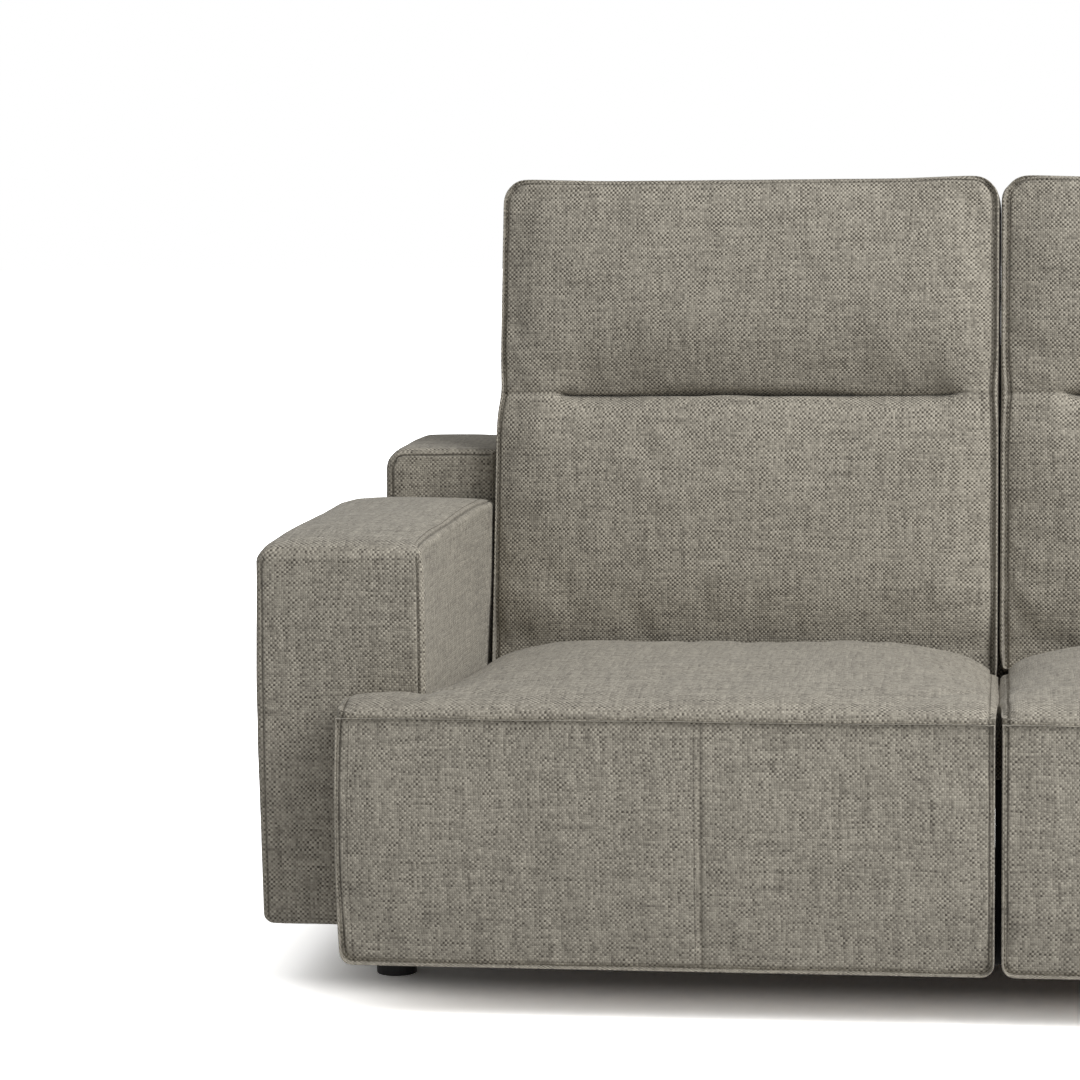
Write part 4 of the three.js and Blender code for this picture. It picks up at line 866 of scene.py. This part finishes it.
# A seat cushion with its crown, its lip over the footrest and, on an end seat, the ear before the arm.
def seatPiece(name, centreX, half, hasEar):
    s = seat
    left, right, front, rear = centreX - half, centreX + half, s["frontY"], s["rearY"]
    border, earRear = s["hemRows"], front + s["earDepth"]
    earRows = [*(earRear - i for i in border[:-1]), *(earRear + i for i in s["earRows"])] if hasEar else []
    rows = [
        rowsAlong(left, right, border, s["cell"]),
        rowsAlong(front, rear, border, s["cell"], [s["stepY"] - 1, s["stepY"] + 1, *earRows]),
        s["layers"],
    ]
    piece, grid = cutBlock(name, rows)
    if hasEar:
        grid = drawEar(piece, earRear)
    x, y, share = grid[:, 0].copy(), grid[:, 1].copy(), grid[:, 2]
    outerX = left - (s["earReach"] if hasEar else 0)
    # Corners of the plan, rounded.
    corners = ((outerX, front, 1, 1), (right, front, -1, 1), (left, rear, 1, -1), (right, rear, -1, -1))
    for cornerX, cornerY, signX, signY in corners:
        dx, dy = s["corner"] - signX * (x - cornerX), s["corner"] - signY * (y - cornerY)
        near = (dx > 0) & (dy > 0) & (signX * (x - cornerX) > -1e-6)
        scale = np.maximum(dx, dy) / np.maximum(np.hypot(dx, dy), 1e-9)
        x = np.where(near, cornerX + signX * (s["corner"] - dx * scale), x)
        y = np.where(near, cornerY + signY * (s["corner"] - dy * scale), y)
    # How far in each point lies from every side, taken in the rows: a corner's arc counts as one line.
    gx, gy = grid[:, 0], grid[:, 1]
    inFront, inRight, inRear = gy - front, right - gx, rear - gy
    earShare = 1 - smooth(gy, earRear - 50, earRear + 4) if hasEar else np.zeros(len(gy))
    inLeft = np.where(hasEar & (gy < earRear + 0.01), gx - outerX, gx - left)
    softLeft = np.clip(earShare * (gx - outerX) + (1 - earShare) * (gx - left), 0, None)
    rolls = s["rolls"]
    leftRoll = [rolls["side"][k] + (rolls["ear"][k] - rolls["side"][k]) * earShare for k in (0, 1)]
    edges = (
        (inFront, rolls["front"]), (inRight, rolls["side"]), (softLeft, leftRoll), (inRear, rolls["rear"]),
    )
    parts = [(fall(distance, roll), roll[1]) for distance, roll in edges]
    if hasEar:
        parts.append((fall(earRear - gy, rolls["armSide"]) * (gx < left), rolls["armSide"][1]))
    total = np.sqrt(sum(p ** 2 for p, _ in parts))
    height = sum(p * h for p, h in parts) / np.maximum(sum(p for p, _ in parts), 1e-9)
    drop = height * (1 - np.sqrt(1 - np.clip(total, 0, 1) ** 2))
    u = np.clip(np.abs(x - centreX) / half, 0, 1) * 0.99
    along = np.clip((y - s["stepY"]) / (s["rearTopY"] - s["stepY"]), 0, 1)
    crown = (1 - u ** s["power"]) * bend(s["crownHeights"], along)
    lipCrown = s["lipCrown"] + (1 - s["lipCrown"]) * smooth(y, front, s["stepY"])
    crown *= np.where(y < s["stepY"], lipCrown, 1)
    topZ = s["bottom"] + bend(s["edgeHeights"], along) + crown - drop
    isTop = share > 0.999
    bottomZ = np.where(gy < s["stepY"], s["lipBottom"], s["bottom"])
    if hasEar:
        bottomZ = np.where(gx < left - 0.5, s["lipBottom"], bottomZ)
    z = bottomZ + (topZ - bottomZ) * share
    z += lipWave(x) * (y < s["stepY"] + 1) * (1 - smooth(z, *s["lipLine"]))
    # The rear wall leans back with the back cushion, and the sides swell out to the neighbours.
    rise = np.clip((z - s["bottom"]) / s["leanRise"], 0, 1)
    y = y + (s["rearTopY"] - s["rearY"]) * smooth(y, s["leanFrom"], s["rearY"]) * rise
    inLip = gy < s["stepY"] + 1
    y = y + recess(z) * np.clip(1 - inFront / (s["stepY"] - front), 0, 1)
    swell = np.where(inLip, smooth(z, *s["lipSwell"]), smooth(z, *s["deckSwell"]))
    behind = smooth(inFront, 0, 14)
    leftSwell = s["armSwell"] if hasEar else s["sideSwell"]
    x = x + s["sideSwell"] * swell * (inRight < 1e-6) * behind
    x = x - leftSwell * swell * (inLeft < 1e-6) * (gx > left - 1) * behind
    if hasEar:
        x = x - (s["earOut"] + s["bow"] * bow(z)) * smooth(left - gx, 10, s["earReach"]) * earShare
    places = np.stack([x, y, z], 1)
    tugged = waves(places, s["puckerSize"], 6) * s["pucker"]
    bySide = np.exp(-inRight / 16) + (0 if hasEar else 1) * np.exp(-inLeft / 16)
    upper = np.where(inLip, smooth(z, *s["lipPucker"]), smooth(z, *s["deckPucker"]))
    x = x + tugged * bySide * upper * s["puckerShare"]
    setCoords(piece, np.stack([x, y, z], 1) * mm)
    distance = np.minimum(inRight, inLeft)
    held = ~isTop | (distance < s["seam"] + 1.5) | (inFront < 10) | (inRear < 8)
    fillOut(piece, held, smooth(inFront, 10, 70))
    seamLine = groove(distance - s["seam"], s["seamWidth"]) * ((share > 0.001) | (inFront < 1))
    spread = smooth(np.minimum(distance, inFront), 0, 30)
    amount = -s["seamDepth"] * seamLine
    amount += (ripple(places, s["slowWaves"], 7) + ripple(places, s["dents"], 8)) * isTop * spread
    amount += ripple(places, s["hemPuckers"], 9) * np.exp(-distance / 14) * isTop
    pushOut(piece, amount)
    # Painted shade along the seams, weaker on the top away from the front.
    paintShade(piece, seamLine * 0.7 * (1 - 0.6 * isTop * smooth(inFront, 4, 30)))
    return piece


def finishSeat(piece, rows):
    finishSoft(piece, seatCloth)
    sew(piece, rows)


def seatStitches(centreX, half, hasEar):
    s = seat
    inner = centreX + half - s["seam"]
    outer = centreX - half - (s["earReach"] + s["earOut"] if hasEar else 0) + s["seam"]
    outerEnd = s["frontY"] + (s["earDepth"] - 20 if hasEar else 560)
    rows = []
    for x, end in ((inner, s["rearY"] - 10), (outer, outerEnd)):
        rows.append(([(x * mm, (s["frontY"] + 14) * mm, 0.6), (x * mm, end * mm, 0.6)], (0, 0, -1)))
    return rows


leftSeat = seatPiece("leftSeatCushion", -endCentre, back["half"], True)
finishSeat(leftSeat, seatStitches(-endCentre, back["half"], True))
rightSeat = mirrored(leftSeat, "rightSeatCushion")
for word, piece in (("left", leftSeat), ("right", rightSeat)):
    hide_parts(f"{word}_seat_cushion")
    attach(piece, f"{word}_seat")
middleSeat = seatPiece("middleSeatCushion", 0, consoleBack["half"], False)
finishSeat(middleSeat, seatStitches(0, consoleBack["half"], False))
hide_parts("console_seat_cushion")
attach(middleSeat, "root")
print("seats made")


# Upholstered fronts

front = {
    "topAt": 376.4, "corners": (16, 16, 9, 9), "edge": 9, "seam": 6.4, "seamDepth": 2.4, "seamWidth": 1.5,
    "cell": 16, "squeeze": 0.05, "squeezeReach": 12, "sideFall": 2.5, "hemWeight": 0.25,
    "middleSeamDepth": 1.5, "stitchGap": 7, "secondRow": 11,
    "hemRows": [0, 2, 3.6, 4.8, 5.6, 6.4, 7.2, 8, 9.4, 12, 16, 24],
    "seamRows": (-9, -5, -2.4, -1.1, 0, 1.1, 2.4, 5, 9),
    "slowWaves": (0.8, 120), "dents": (0.35, 36), "hemPuckers": (0.6, 15),
}


def frontPiece(name, node, seamX, swells=False):
    f = front
    low, high = nodeBox(node)
    high[2] = f["topAt"]
    rows = [
        rowsAlong(low[0], high[0], f["hemRows"], f["cell"], [seamX + d for d in f["seamRows"]]),
        rowsAlong(low[1], high[1], [0, 2, 4.5, 7, f["edge"]], 20),
        rowsAlong(low[2], high[2], f["hemRows"], f["cell"]),
    ]
    piece, grid = cutBlock(name, rows)
    places, _, facing = roundBlock(grid, low, high, 1, f["corners"], f["edge"])
    centre, half = (low + high) / 2, (high - low) / 2
    u, v = (grid[:, 0] - centre[0]) / half[0], (grid[:, 2] - centre[2]) / half[2]
    onFront = (facing < 1e-6) & (grid[:, 1] < centre[1])
    sideFall = np.abs(u) ** 5 * (1 - 0.8 * smooth(v, 0.6, 1))
    places[:, 1] += np.where(onFront, recess(grid[:, 2]) + f["sideFall"] * sideFall, 0)
    # The top edge is square, so that it closes against the cushion's lip.
    zone, tall, reach = high[2] - places[:, 2], high[2] - low[2], f["squeezeReach"]
    lower = reach * f["squeeze"] + (zone - reach) * (tall - reach * f["squeeze"]) / (tall - reach)
    tight = np.where(zone < reach, zone * f["squeeze"], lower)
    places[:, 2] = high[2] - tight + lipWave(places[:, 0]) * smooth(places[:, 2], 320, high[2])
    if swells:
        places[:, 0] -= (seat["earOut"] + seat["bow"] * bow(places[:, 2])) * smooth(-u, 0.75, 1)
    setCoords(piece, places * mm)
    sideInset = half[0] - np.abs(grid[:, 0] - centre[0])
    hemInset = grid[:, 2] - low[2]
    edgeInset = np.minimum(sideInset, hemInset)
    below = high[2] - grid[:, 2]
    atSeam = (edgeInset < f["seam"] + 1.5) | (np.abs(grid[:, 0] - seamX) < 2)
    fillOut(piece, ~onFront | atSeam | (below < 8), smooth(below, 10, 90))
    seamLine = groove(edgeInset - f["seam"], f["seamWidth"]) * (facing < f["edge"])
    seamLine *= np.where(hemInset < sideInset, f["hemWeight"], 1)
    middleLine = groove(grid[:, 0] - seamX, f["seamWidth"]) * onFront
    amount = -f["seamDepth"] * seamLine - f["middleSeamDepth"] * middleLine
    amount += (ripple(places, f["slowWaves"], 11) + ripple(places, f["dents"], 12)) * onFront
    amount += ripple(places, f["hemPuckers"], 13) * np.exp(-edgeInset / 14) * (edgeInset > 0.5)
    pushOut(piece, amount)
    # Painted shade along the outer seams and the middle seam.
    paintShade(piece, seamLine * 0.8 + middleLine * 0.45)
    return piece


def finishFront(piece, node, seamX, swells=False):
    f = front
    low, high = nodeBox(node)
    finishSoft(piece, frontCloth)
    y = (low[1] - 40) * mm
    top, bottom = (f["topAt"] - 6) * mm, (low[2] + 12) * mm
    forward = (0, 1, 0)
    upright = (high[0] - f["seam"], seamX - f["stitchGap"])
    rows = [([(x * mm, y, bottom), (x * mm, y, top)], forward) for x in upright]
    heights = np.linspace(bottom, top, 12)
    outerRows = (f["seam"], f["seam"] + f["secondRow"]) if swells else (f["seam"],)
    for inset in outerRows:
        out = seat["earOut"] + seat["bow"] * bow(heights / mm) if swells else heights * 0
        rows.append(([((low[0] + inset - shift) * mm, y, z) for shift, z in zip(out, heights)], forward))
    sew(piece, rows)


leftFront = frontPiece("leftFootrestPad", "left_footrest_pad", -endCentre, True)
finishFront(leftFront, "left_footrest_pad", -endCentre, True)
rightFront = mirrored(leftFront, "rightFootrestPad")
for word, piece in (("left", leftFront), ("right", rightFront)):
    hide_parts(f"{word}_footrest_pad")
    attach(piece, f"{word}_footrest")
middleFront = frontPiece("middleSeatFront", "console_front_panel", 0)
finishFront(middleFront, "console_front_panel", 0)
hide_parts("console_front_panel")
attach(middleFront, "root")
print("fronts made")


# Arms and wings

arm = {
    "corners": (14, 14, 20, 8), "edge": 12, "seams": (9, 3.4, 6, 9), "seamDepth": 2.6, "seamWidth": 1.6,
    "weights": (0.8, 1, 0.12, 0.5), "sewn": ("outer", "inner"), "crown": 14, "rearRound": 10, "strip": 3,
    "topSeam": 5, "cell": 17, "droop": 8, "flare": 7, "lower": 15, "rearIn": 6, "topInset": 8,
}
wing = {
    "corners": (14, 5, 28, 5), "edge": 13, "seams": (10, 9, 7, 9), "seamDepth": 2.8, "seamWidth": 1.7,
    "weights": (1, 0, 1, 0.5), "sewn": ("outer", "top"), "crown": 5, "rearRound": 12, "strip": 0,
    "topSeam": None, "cell": 17, "droop": 0, "flare": 0, "inwards": 6, "rearIn": 0, "topInset": 4,
}
block = {
    "hemRows": (0, 2.4, 4.6, 6.6, 8.2, 9.4, 11, 13, 18, 25), "crownReach": 60, "roundReach": 90,
    "stripAt": 15, "stripWidth": 13, "flareReach": (14, 74), "rearInAt": (482, 512), "droopReach": (-8, 40),
    "slowWaves": (1.2, 130), "dents": (0.45, 40), "hemPuckers": (0.7, 16),
    "press": 0.9, "pressEdge": (10, 34),
}


# An upholstered block with a front panel sewn in round its edge and a crowned top.
# The form's seams are how far in the panel's seam runs from the outer and inner side, the top and the bottom.
def blockPiece(name, low, high, form, pressed=None):
    border = {*block["hemRows"], *form["corners"]}
    for seam in form["seams"]:
        border |= {seam - 0.9, seam, seam + 0.9}
    border = sorted(border)
    rows = [
        rowsAlong(low[0], high[0], border, form["cell"]),
        rowsAlong(low[1], high[1], [0, 3, 6, 9, form["edge"], 20, 30], form["cell"] * 1.4),
        rowsAlong(low[2], high[2], border, form["cell"]),
    ]
    piece, grid = cutBlock(name, rows)
    places, inset, facing = roundBlock(grid, low, high, 1, form["corners"], form["edge"])
    centre, half = (low + high) / 2, (high - low) / 2
    gx, gy, gz = grid.T
    u, v = (gx - centre[0]) / half[0], (gy - centre[1]) / half[1]
    v01 = (gz - low[2]) / (high[2] - low[2])
    upper = smooth(gz, high[2] - block["crownReach"], high[2])
    places[:, 2] += form["crown"] * fullness(u, v, 4) * upper
    # The rear top corner falls away to the back. A padded strip runs down the inner side by the panel.
    rearZone = smooth(gy, high[1] - 3 * form["rearRound"], high[1])
    rearTop = smooth(gz, high[2] - block["roundReach"], high[2])
    places[:, 2] -= form["rearRound"] * 0.7 * rearZone ** 2 * rearTop
    onInner, belowTop = gx > high[0] - 1e-6, smooth(high[2] - gz, 2, 30)
    stripLine = groove(gy - low[1] - block["stripAt"], block["stripWidth"])
    places[:, 0] += form["strip"] * stripLine * onInner * belowTop
    # The front flares a little to the outside and its top edge is drawn down.
    nearFront = 1 - smooth(gy - low[1], *block["flareReach"])
    barrel = 0.75 + 0.25 * np.sin(np.pi * np.clip(v01, 0, 1))
    places[:, 0] -= form["flare"] * nearFront * smooth(-u, -0.6, 1) * barrel
    atRear = smooth(gy, *(low[1] + reach for reach in block["rearInAt"]))
    places[:, 0] += form["rearIn"] * atRear * smooth(u, 0, 1)
    frontEdge = (1 - smooth(gy - low[1], *block["droopReach"])) ** 1.5
    places[:, 2] -= form["droop"] * frontEdge * smooth(gz, high[2] - 40, high[2])
    setCoords(piece, places * mm)
    isFront = gy < centre[1]
    outer, inner, top, bottom = form["seams"]
    distances = np.array([
        gx - low[0] - outer, high[0] - gx - inner, high[2] - gz - top, gz - low[2] - bottom,
    ])
    weight = np.array(form["weights"])[distances.argmin(0)]
    seamLine = groove(distances.min(0), form["seamWidth"]) * (facing < form["edge"]) * isFront * weight
    if form["topSeam"]:
        onTop = (gz > high[2] - 1e-6) & (gy > low[1] + form["edge"])
        topLine = groove(high[0] - gx - form["topSeam"], form["seamWidth"]) * onTop
        seamLine = np.maximum(seamLine, topLine)
    amount = -form["seamDepth"] * seamLine
    amount += ripple(places, block["slowWaves"], 21) + ripple(places, block["dents"], 22)
    byHem = ripple(places, block["hemPuckers"], 23) * np.exp(-inset / 16)
    amount += byHem * (inset > 0.5) * (facing < 1)
    if pressed:
        # The cloth lies flat under a plate screwed to the outer side.
        near, far = block["pressEdge"]
        under = (gx < low[0] + 1e-6) * 1.0
        for along, start, end in ((gy, *pressed[0]), (gz, *pressed[1])):
            under *= smooth(along, start - far, start - near) * (1 - smooth(along, end + near, end + far))
        amount = amount * (1 - under) - block["press"] * under
    pushOut(piece, amount)
    # Painted shade along the seams.
    paintShade(piece, seamLine * 0.8)
    return piece


def blockStitches(low, high, form):
    outer, inner, top, _ = form["seams"]
    x0, x1, z0, z1 = low[0] + outer, high[0] - inner, low[2] + 14, high[2] - top
    radius = form["corners"][2] * 0.7
    shift = form["flare"] * 0.85
    side = [(x0 - shift, z0 + (z1 - radius - z0) * k / 8) for k in range(9)]
    corner = []
    for angle in (math.pi / 16 * k for k in range(1, 9)):
        across, up = radius * math.cos(angle), radius * math.sin(angle)
        corner.append((x0 - shift + radius - across, z1 - radius + up))
    y = (low[1] - 60) * mm
    paths = {
        "outer": side + (corner if "top" in form["sewn"] else []),
        "inner": [(x1, z0), (x1, z1 - 4)], "top": [(x0 + radius, z1), (x1, z1)],
    }
    return [([(px * mm, y, pz * mm) for px, pz in paths[name]], (0, 1, 0)) for name in form["sewn"]]


armLow, armHigh = nodeBox("left_arm")
armLow[2] -= arm["lower"]
armHigh[2] -= arm["topInset"]
plateLow, plateHigh = nodeBox("left_switch_plate")
leftArm = blockPiece("leftArmUpholstery", armLow, armHigh, arm, list(zip(plateLow, plateHigh))[1:])
finishSoft(leftArm, armCloth)
armRows = blockStitches(armLow, armHigh, arm)
topX = (armHigh[0] - 11) * mm
armRows.append(([(topX, (armLow[1] + 24) * mm, 0.7), (topX, (armHigh[1] - 30) * mm, 0.7)], (0, 0, -1)))
sew(leftArm, armRows)
wingLow, wingHigh = nodeBox("left_back_wing")
wingHigh[2] -= wing["topInset"]
wingHigh[0] += wing["inwards"]
leftWing = blockPiece("leftWingUpholstery", wingLow, wingHigh, wing)
finishSoft(leftWing, armCloth)
sew(leftWing, blockStitches(wingLow, wingHigh, wing))
rightArm, rightWing = mirrored(leftArm, "rightArmUpholstery"), mirrored(leftWing, "rightWingUpholstery")
for word, armPiece, wingPiece in (("left", leftArm, leftWing), ("right", rightArm, rightWing)):
    for piece, node in ((armPiece, f"{word}_arm"), (wingPiece, f"{word}_back_wing")):
        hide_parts(node)
        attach(piece, "root")
print("arms made")


# Rear panel and console shell

panel = {
    "corners": (14,) * 4, "edge": 12, "seams": (9,) * 4, "seamDepth": 2, "seamWidth": 1.7, "cell": 40,
    "weights": (1,) * 4, "crown": 0, "rearRound": 0, "strip": 0, "topSeam": None, "droop": 0, "flare": 0,
    "rearIn": 0,
}
rearLow, rearHigh = nodeBox("rear_panel")
rearPanel = blockPiece("rearPanelUpholstery", rearLow, rearHigh, panel)
finishSoft(rearPanel, tweedCloth)
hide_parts("rear_panel")
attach(rearPanel, "root")

shell = {
    "half": 300, "front": 26, "rear": 70, "bottom": 25, "padBottom": 285, "top": 726, "wallFront": 55.5,
    "swell": 4.4, "corners": (14,) * 4, "edge": 8, "cell": 26,
    "hemRows": [0, 2.5, 5, 8, 14], "slowWaves": (0.5, 90),
}


def shellPiece():
    low = np.array([-shell["half"], shell["front"], shell["bottom"]], float)
    high = np.array([shell["half"], shell["rear"], shell["top"]], float)
    padRows = [shell["padBottom"], shell["padBottom"] + 4]
    rows = [
        rowsAlong(low[0], high[0], shell["hemRows"], shell["cell"]),
        rowsAlong(low[1], high[1], shell["hemRows"][:-1], 14),
        rowsAlong(low[2], high[2], shell["hemRows"], shell["cell"], padRows),
    ]
    piece, grid = cutBlock("consoleShellUpholstery", rows)
    places, inset, facing = roundBlock(grid, low, high, 1, shell["corners"], shell["edge"])
    thin = grid[:, 2] <= shell["padBottom"] + 1
    share = (places[:, 1] - low[1]) / (high[1] - low[1])
    wall = shell["wallFront"] + share * (high[1] - shell["wallFront"])
    places[:, 1] = np.where(thin, wall, places[:, 1])
    aside = np.abs(grid[:, 0]) > shell["half"] - 0.01
    rim = smooth(grid[:, 2], low[2] + 20, low[2] + 60) * smooth(high[2] - grid[:, 2], 4, 28)
    swell = shell["swell"] * aside * rim * np.sin(np.pi * np.clip(share, 0.01, 0.99)) ** 0.5
    places[:, 0] += np.sign(grid[:, 0]) * swell
    setCoords(piece, leaned(places, 0) * mm)
    pushOut(piece, ripple(places, shell["slowWaves"], 31) * smooth(inset + facing, -1, 8))
    return piece


consoleShell = shellPiece()
finishSoft(consoleShell, tweedCloth)
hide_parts("console_back_shell")
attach(consoleShell, "root")
print("rear made")


# Black felt strips close the gaps between the middle seat's front and its neighbours, a dark sheet standing in
# for the shade in those gaps

felt = {"x": (300.6, 308.9), "y": (-426, -404), "z": (76, 299), "round": 2}


def gapShadeStrip(name, side):
    middle = [(felt[axis][0] + felt[axis][1]) / 2 * mm for axis in "xyz"]
    clearSelection()
    bpy.ops.mesh.primitive_cube_add(size=1, location=(side * middle[0], middle[1], middle[2]))
    strip = bpy.context.object
    strip.name = strip.data.name = name
    strip.scale = [(felt[axis][1] - felt[axis][0]) * mm for axis in "xyz"]
    bpy.ops.object.transform_apply(location=True, rotation=True, scale=True)
    bpy.ops.object.mode_set(mode="EDIT")
    bpy.ops.mesh.select_all(action="SELECT")
    bpy.ops.mesh.bevel(offset=felt["round"] * mm, segments=3, affect="EDGES")
    bpy.ops.object.mode_set(mode="OBJECT")
    bpy.ops.object.shade_smooth_by_angle(angle=math.radians(40))
    strip.data.materials.append(gapShadeFelt)
    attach(strip, "root")


# Near-black felt, standing in for the shade in the gaps.
gapShadeFelt = mouldedMaterial("gapShadeFelt", (0.012, 0.012, 0.012), 0.95, scale=2500.0, bump=0.8, spread=0.5)
gapShadeStrip("leftGapShadeFelt", -1)
gapShadeStrip("rightGapShadeFelt", 1)


# Finishes of the rigid parts

def refinish(node, material):
    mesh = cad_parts[node].data
    if not mesh.materials:
        mesh.materials.append(material)
    for index in range(len(mesh.materials)):
        mesh.materials[index] = material


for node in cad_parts:
    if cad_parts[node].hide_render:
        continue
    if node.startswith("foot_"):
        refinish(node, feetPlastic)
    elif node.startswith("console_cup"):
        refinish(node, cupSteel)
    elif node == "console_tray":
        refinish(node, trayPlastic)
    elif node == "base_frame" or node.endswith("_links") or node.endswith("drive_block"):
        refinish(node, steel)
    elif node.endswith(("seat_frame", "back_frame", "headrest_frame", "footrest_board")):
        refinish(node, plywood)
    else:
        refinish(node, blackPlastic)
print("rigid parts finished")


# Stage, lights and camera

stage = {
    "floorSize": 60, "floorColour": 0.7, "nearShadeColour": 1.25, "farColour": 5.4, "footprint": (1.0, 0.235),
    "stretch": (1.0, 3.2), "fade": (0.0, 0.4), "ambient": 0.39,
}


# The floor holds the sofa's shadow. Where the camera sees it, its colour is painted darker near the sofa's
# footprint, a painted shadow over the real one, and burns out to white away from it.
def floorMaterial():
    material, tree, shader = newMaterial("paleFloor")
    tree.nodes.remove(shader)
    split = tree.nodes.new("ShaderNodeSeparateXYZ")
    feed(tree, split.inputs[0], tree.nodes.new("ShaderNodeTexCoord").outputs["Object"])
    beyond = []
    for place, half, by in zip(split.outputs, stage["footprint"], stage["stretch"]):
        past = minus(tree, calc(tree, "ABSOLUTE", place), half)
        beyond.append(times(tree, calc(tree, "MAXIMUM", past, 0.0), by))
    away = tree.nodes.new("ShaderNodeVectorMath")
    away.operation = "LENGTH"
    feed(tree, away.inputs[0], joinXyz(tree, *beyond))
    fade = tree.nodes.new("ShaderNodeMapRange")
    fade.interpolation_type = "SMOOTHSTEP"
    limits = (away.outputs["Value"], *stage["fade"], stage["nearShadeColour"], stage["farColour"])
    for label, value in zip(("Value", "From Min", "From Max", "To Min", "To Max"), limits):
        feed(tree, fade.inputs[label], value)
    path = tree.nodes.new("ShaderNodeLightPath")
    plain = (stage["floorColour"],) * 3 + (1,)
    level = tree.nodes.new("ShaderNodeCombineColor")
    for socket in level.inputs:
        feed(tree, socket, fade.outputs["Result"])
    diffuse = tree.nodes.new("ShaderNodeBsdfDiffuse")
    colour = mixColour(tree, path.outputs["Is Camera Ray"], plain, level.outputs[0])
    feed(tree, diffuse.inputs["Color"], colour)
    tree.links.new(diffuse.outputs[0], tree.nodes["Material Output"].inputs["Surface"])
    return material


clearSelection()
bpy.ops.mesh.primitive_plane_add(size=stage["floorSize"])
floor = bpy.context.object
floor.name = "paleFloor"
floor.data.materials.append(floorMaterial())

world = bpy.data.worlds.new("studio")
bpy.context.scene.world = world
world.use_nodes = True
tree = world.node_tree
background = tree.nodes["Background"]
path = tree.nodes.new("ShaderNodeLightPath")
inGloss = calc(tree, "MAXIMUM", path.outputs["Is Glossy Ray"], path.outputs["Is Transmission Ray"])
seen = calc(tree, "MAXIMUM", path.outputs["Is Camera Ray"], inGloss)
strength = plus(tree, times(tree, seen, 1 - stage["ambient"]), stage["ambient"])
background.inputs["Color"].default_value = (1, 1, 1, 1)
tree.links.new(strength, background.inputs["Strength"])

lamps = [  # place, aimed at, size, watts
    {"name": "rightKey", "place": (3.2, -2.1, 4.2), "aim": (0, 0, 0.5), "size": 3.6, "watts": 296},
    {"name": "frontFill", "place": (-0.5, -5.5, 1.6), "aim": (0, 0, 0.5), "size": 4.0, "watts": 12},
]
for lamp in lamps:
    light = bpy.data.lights.new(lamp["name"], "AREA")
    light.shape, light.size, light.energy = "SQUARE", lamp["size"], lamp["watts"]
    holder = bpy.data.objects.new(lamp["name"], light)
    bpy.context.collection.objects.link(holder)
    holder.location = lamp["place"]
    aim = Vector(lamp["aim"]) - Vector(lamp["place"])
    holder.rotation_euler = aim.to_track_quat("-Z", "Y").to_euler()

view = {
    "place": (-0.305, -4.3045, 1.034), "yaw": 6.95, "pitch": 6.48, "roll": -0.54,
    "lens": 108.68, "sensor": 36, "shiftX": -0.06,
}
camera = bpy.data.objects.new("camera", bpy.data.cameras.new("camera"))
bpy.context.collection.objects.link(camera)
camera.location = view["place"]
turns = ((view["yaw"], "Z"), (90 - view["pitch"], "X"), (view["roll"], "Z"))
turned = Matrix.Identity(4)
for angle, axis in turns:
    turned = turned @ Matrix.Rotation(math.radians(angle), 4, axis)
camera.rotation_euler = turned.to_euler()
camera.data.lens, camera.data.sensor_width = view["lens"], view["sensor"]
camera.data.shift_x = view["shiftX"]
camera.data.clip_end = 200
bpy.context.scene.camera = camera
bpy.context.scene.view_settings.view_transform = "Standard"
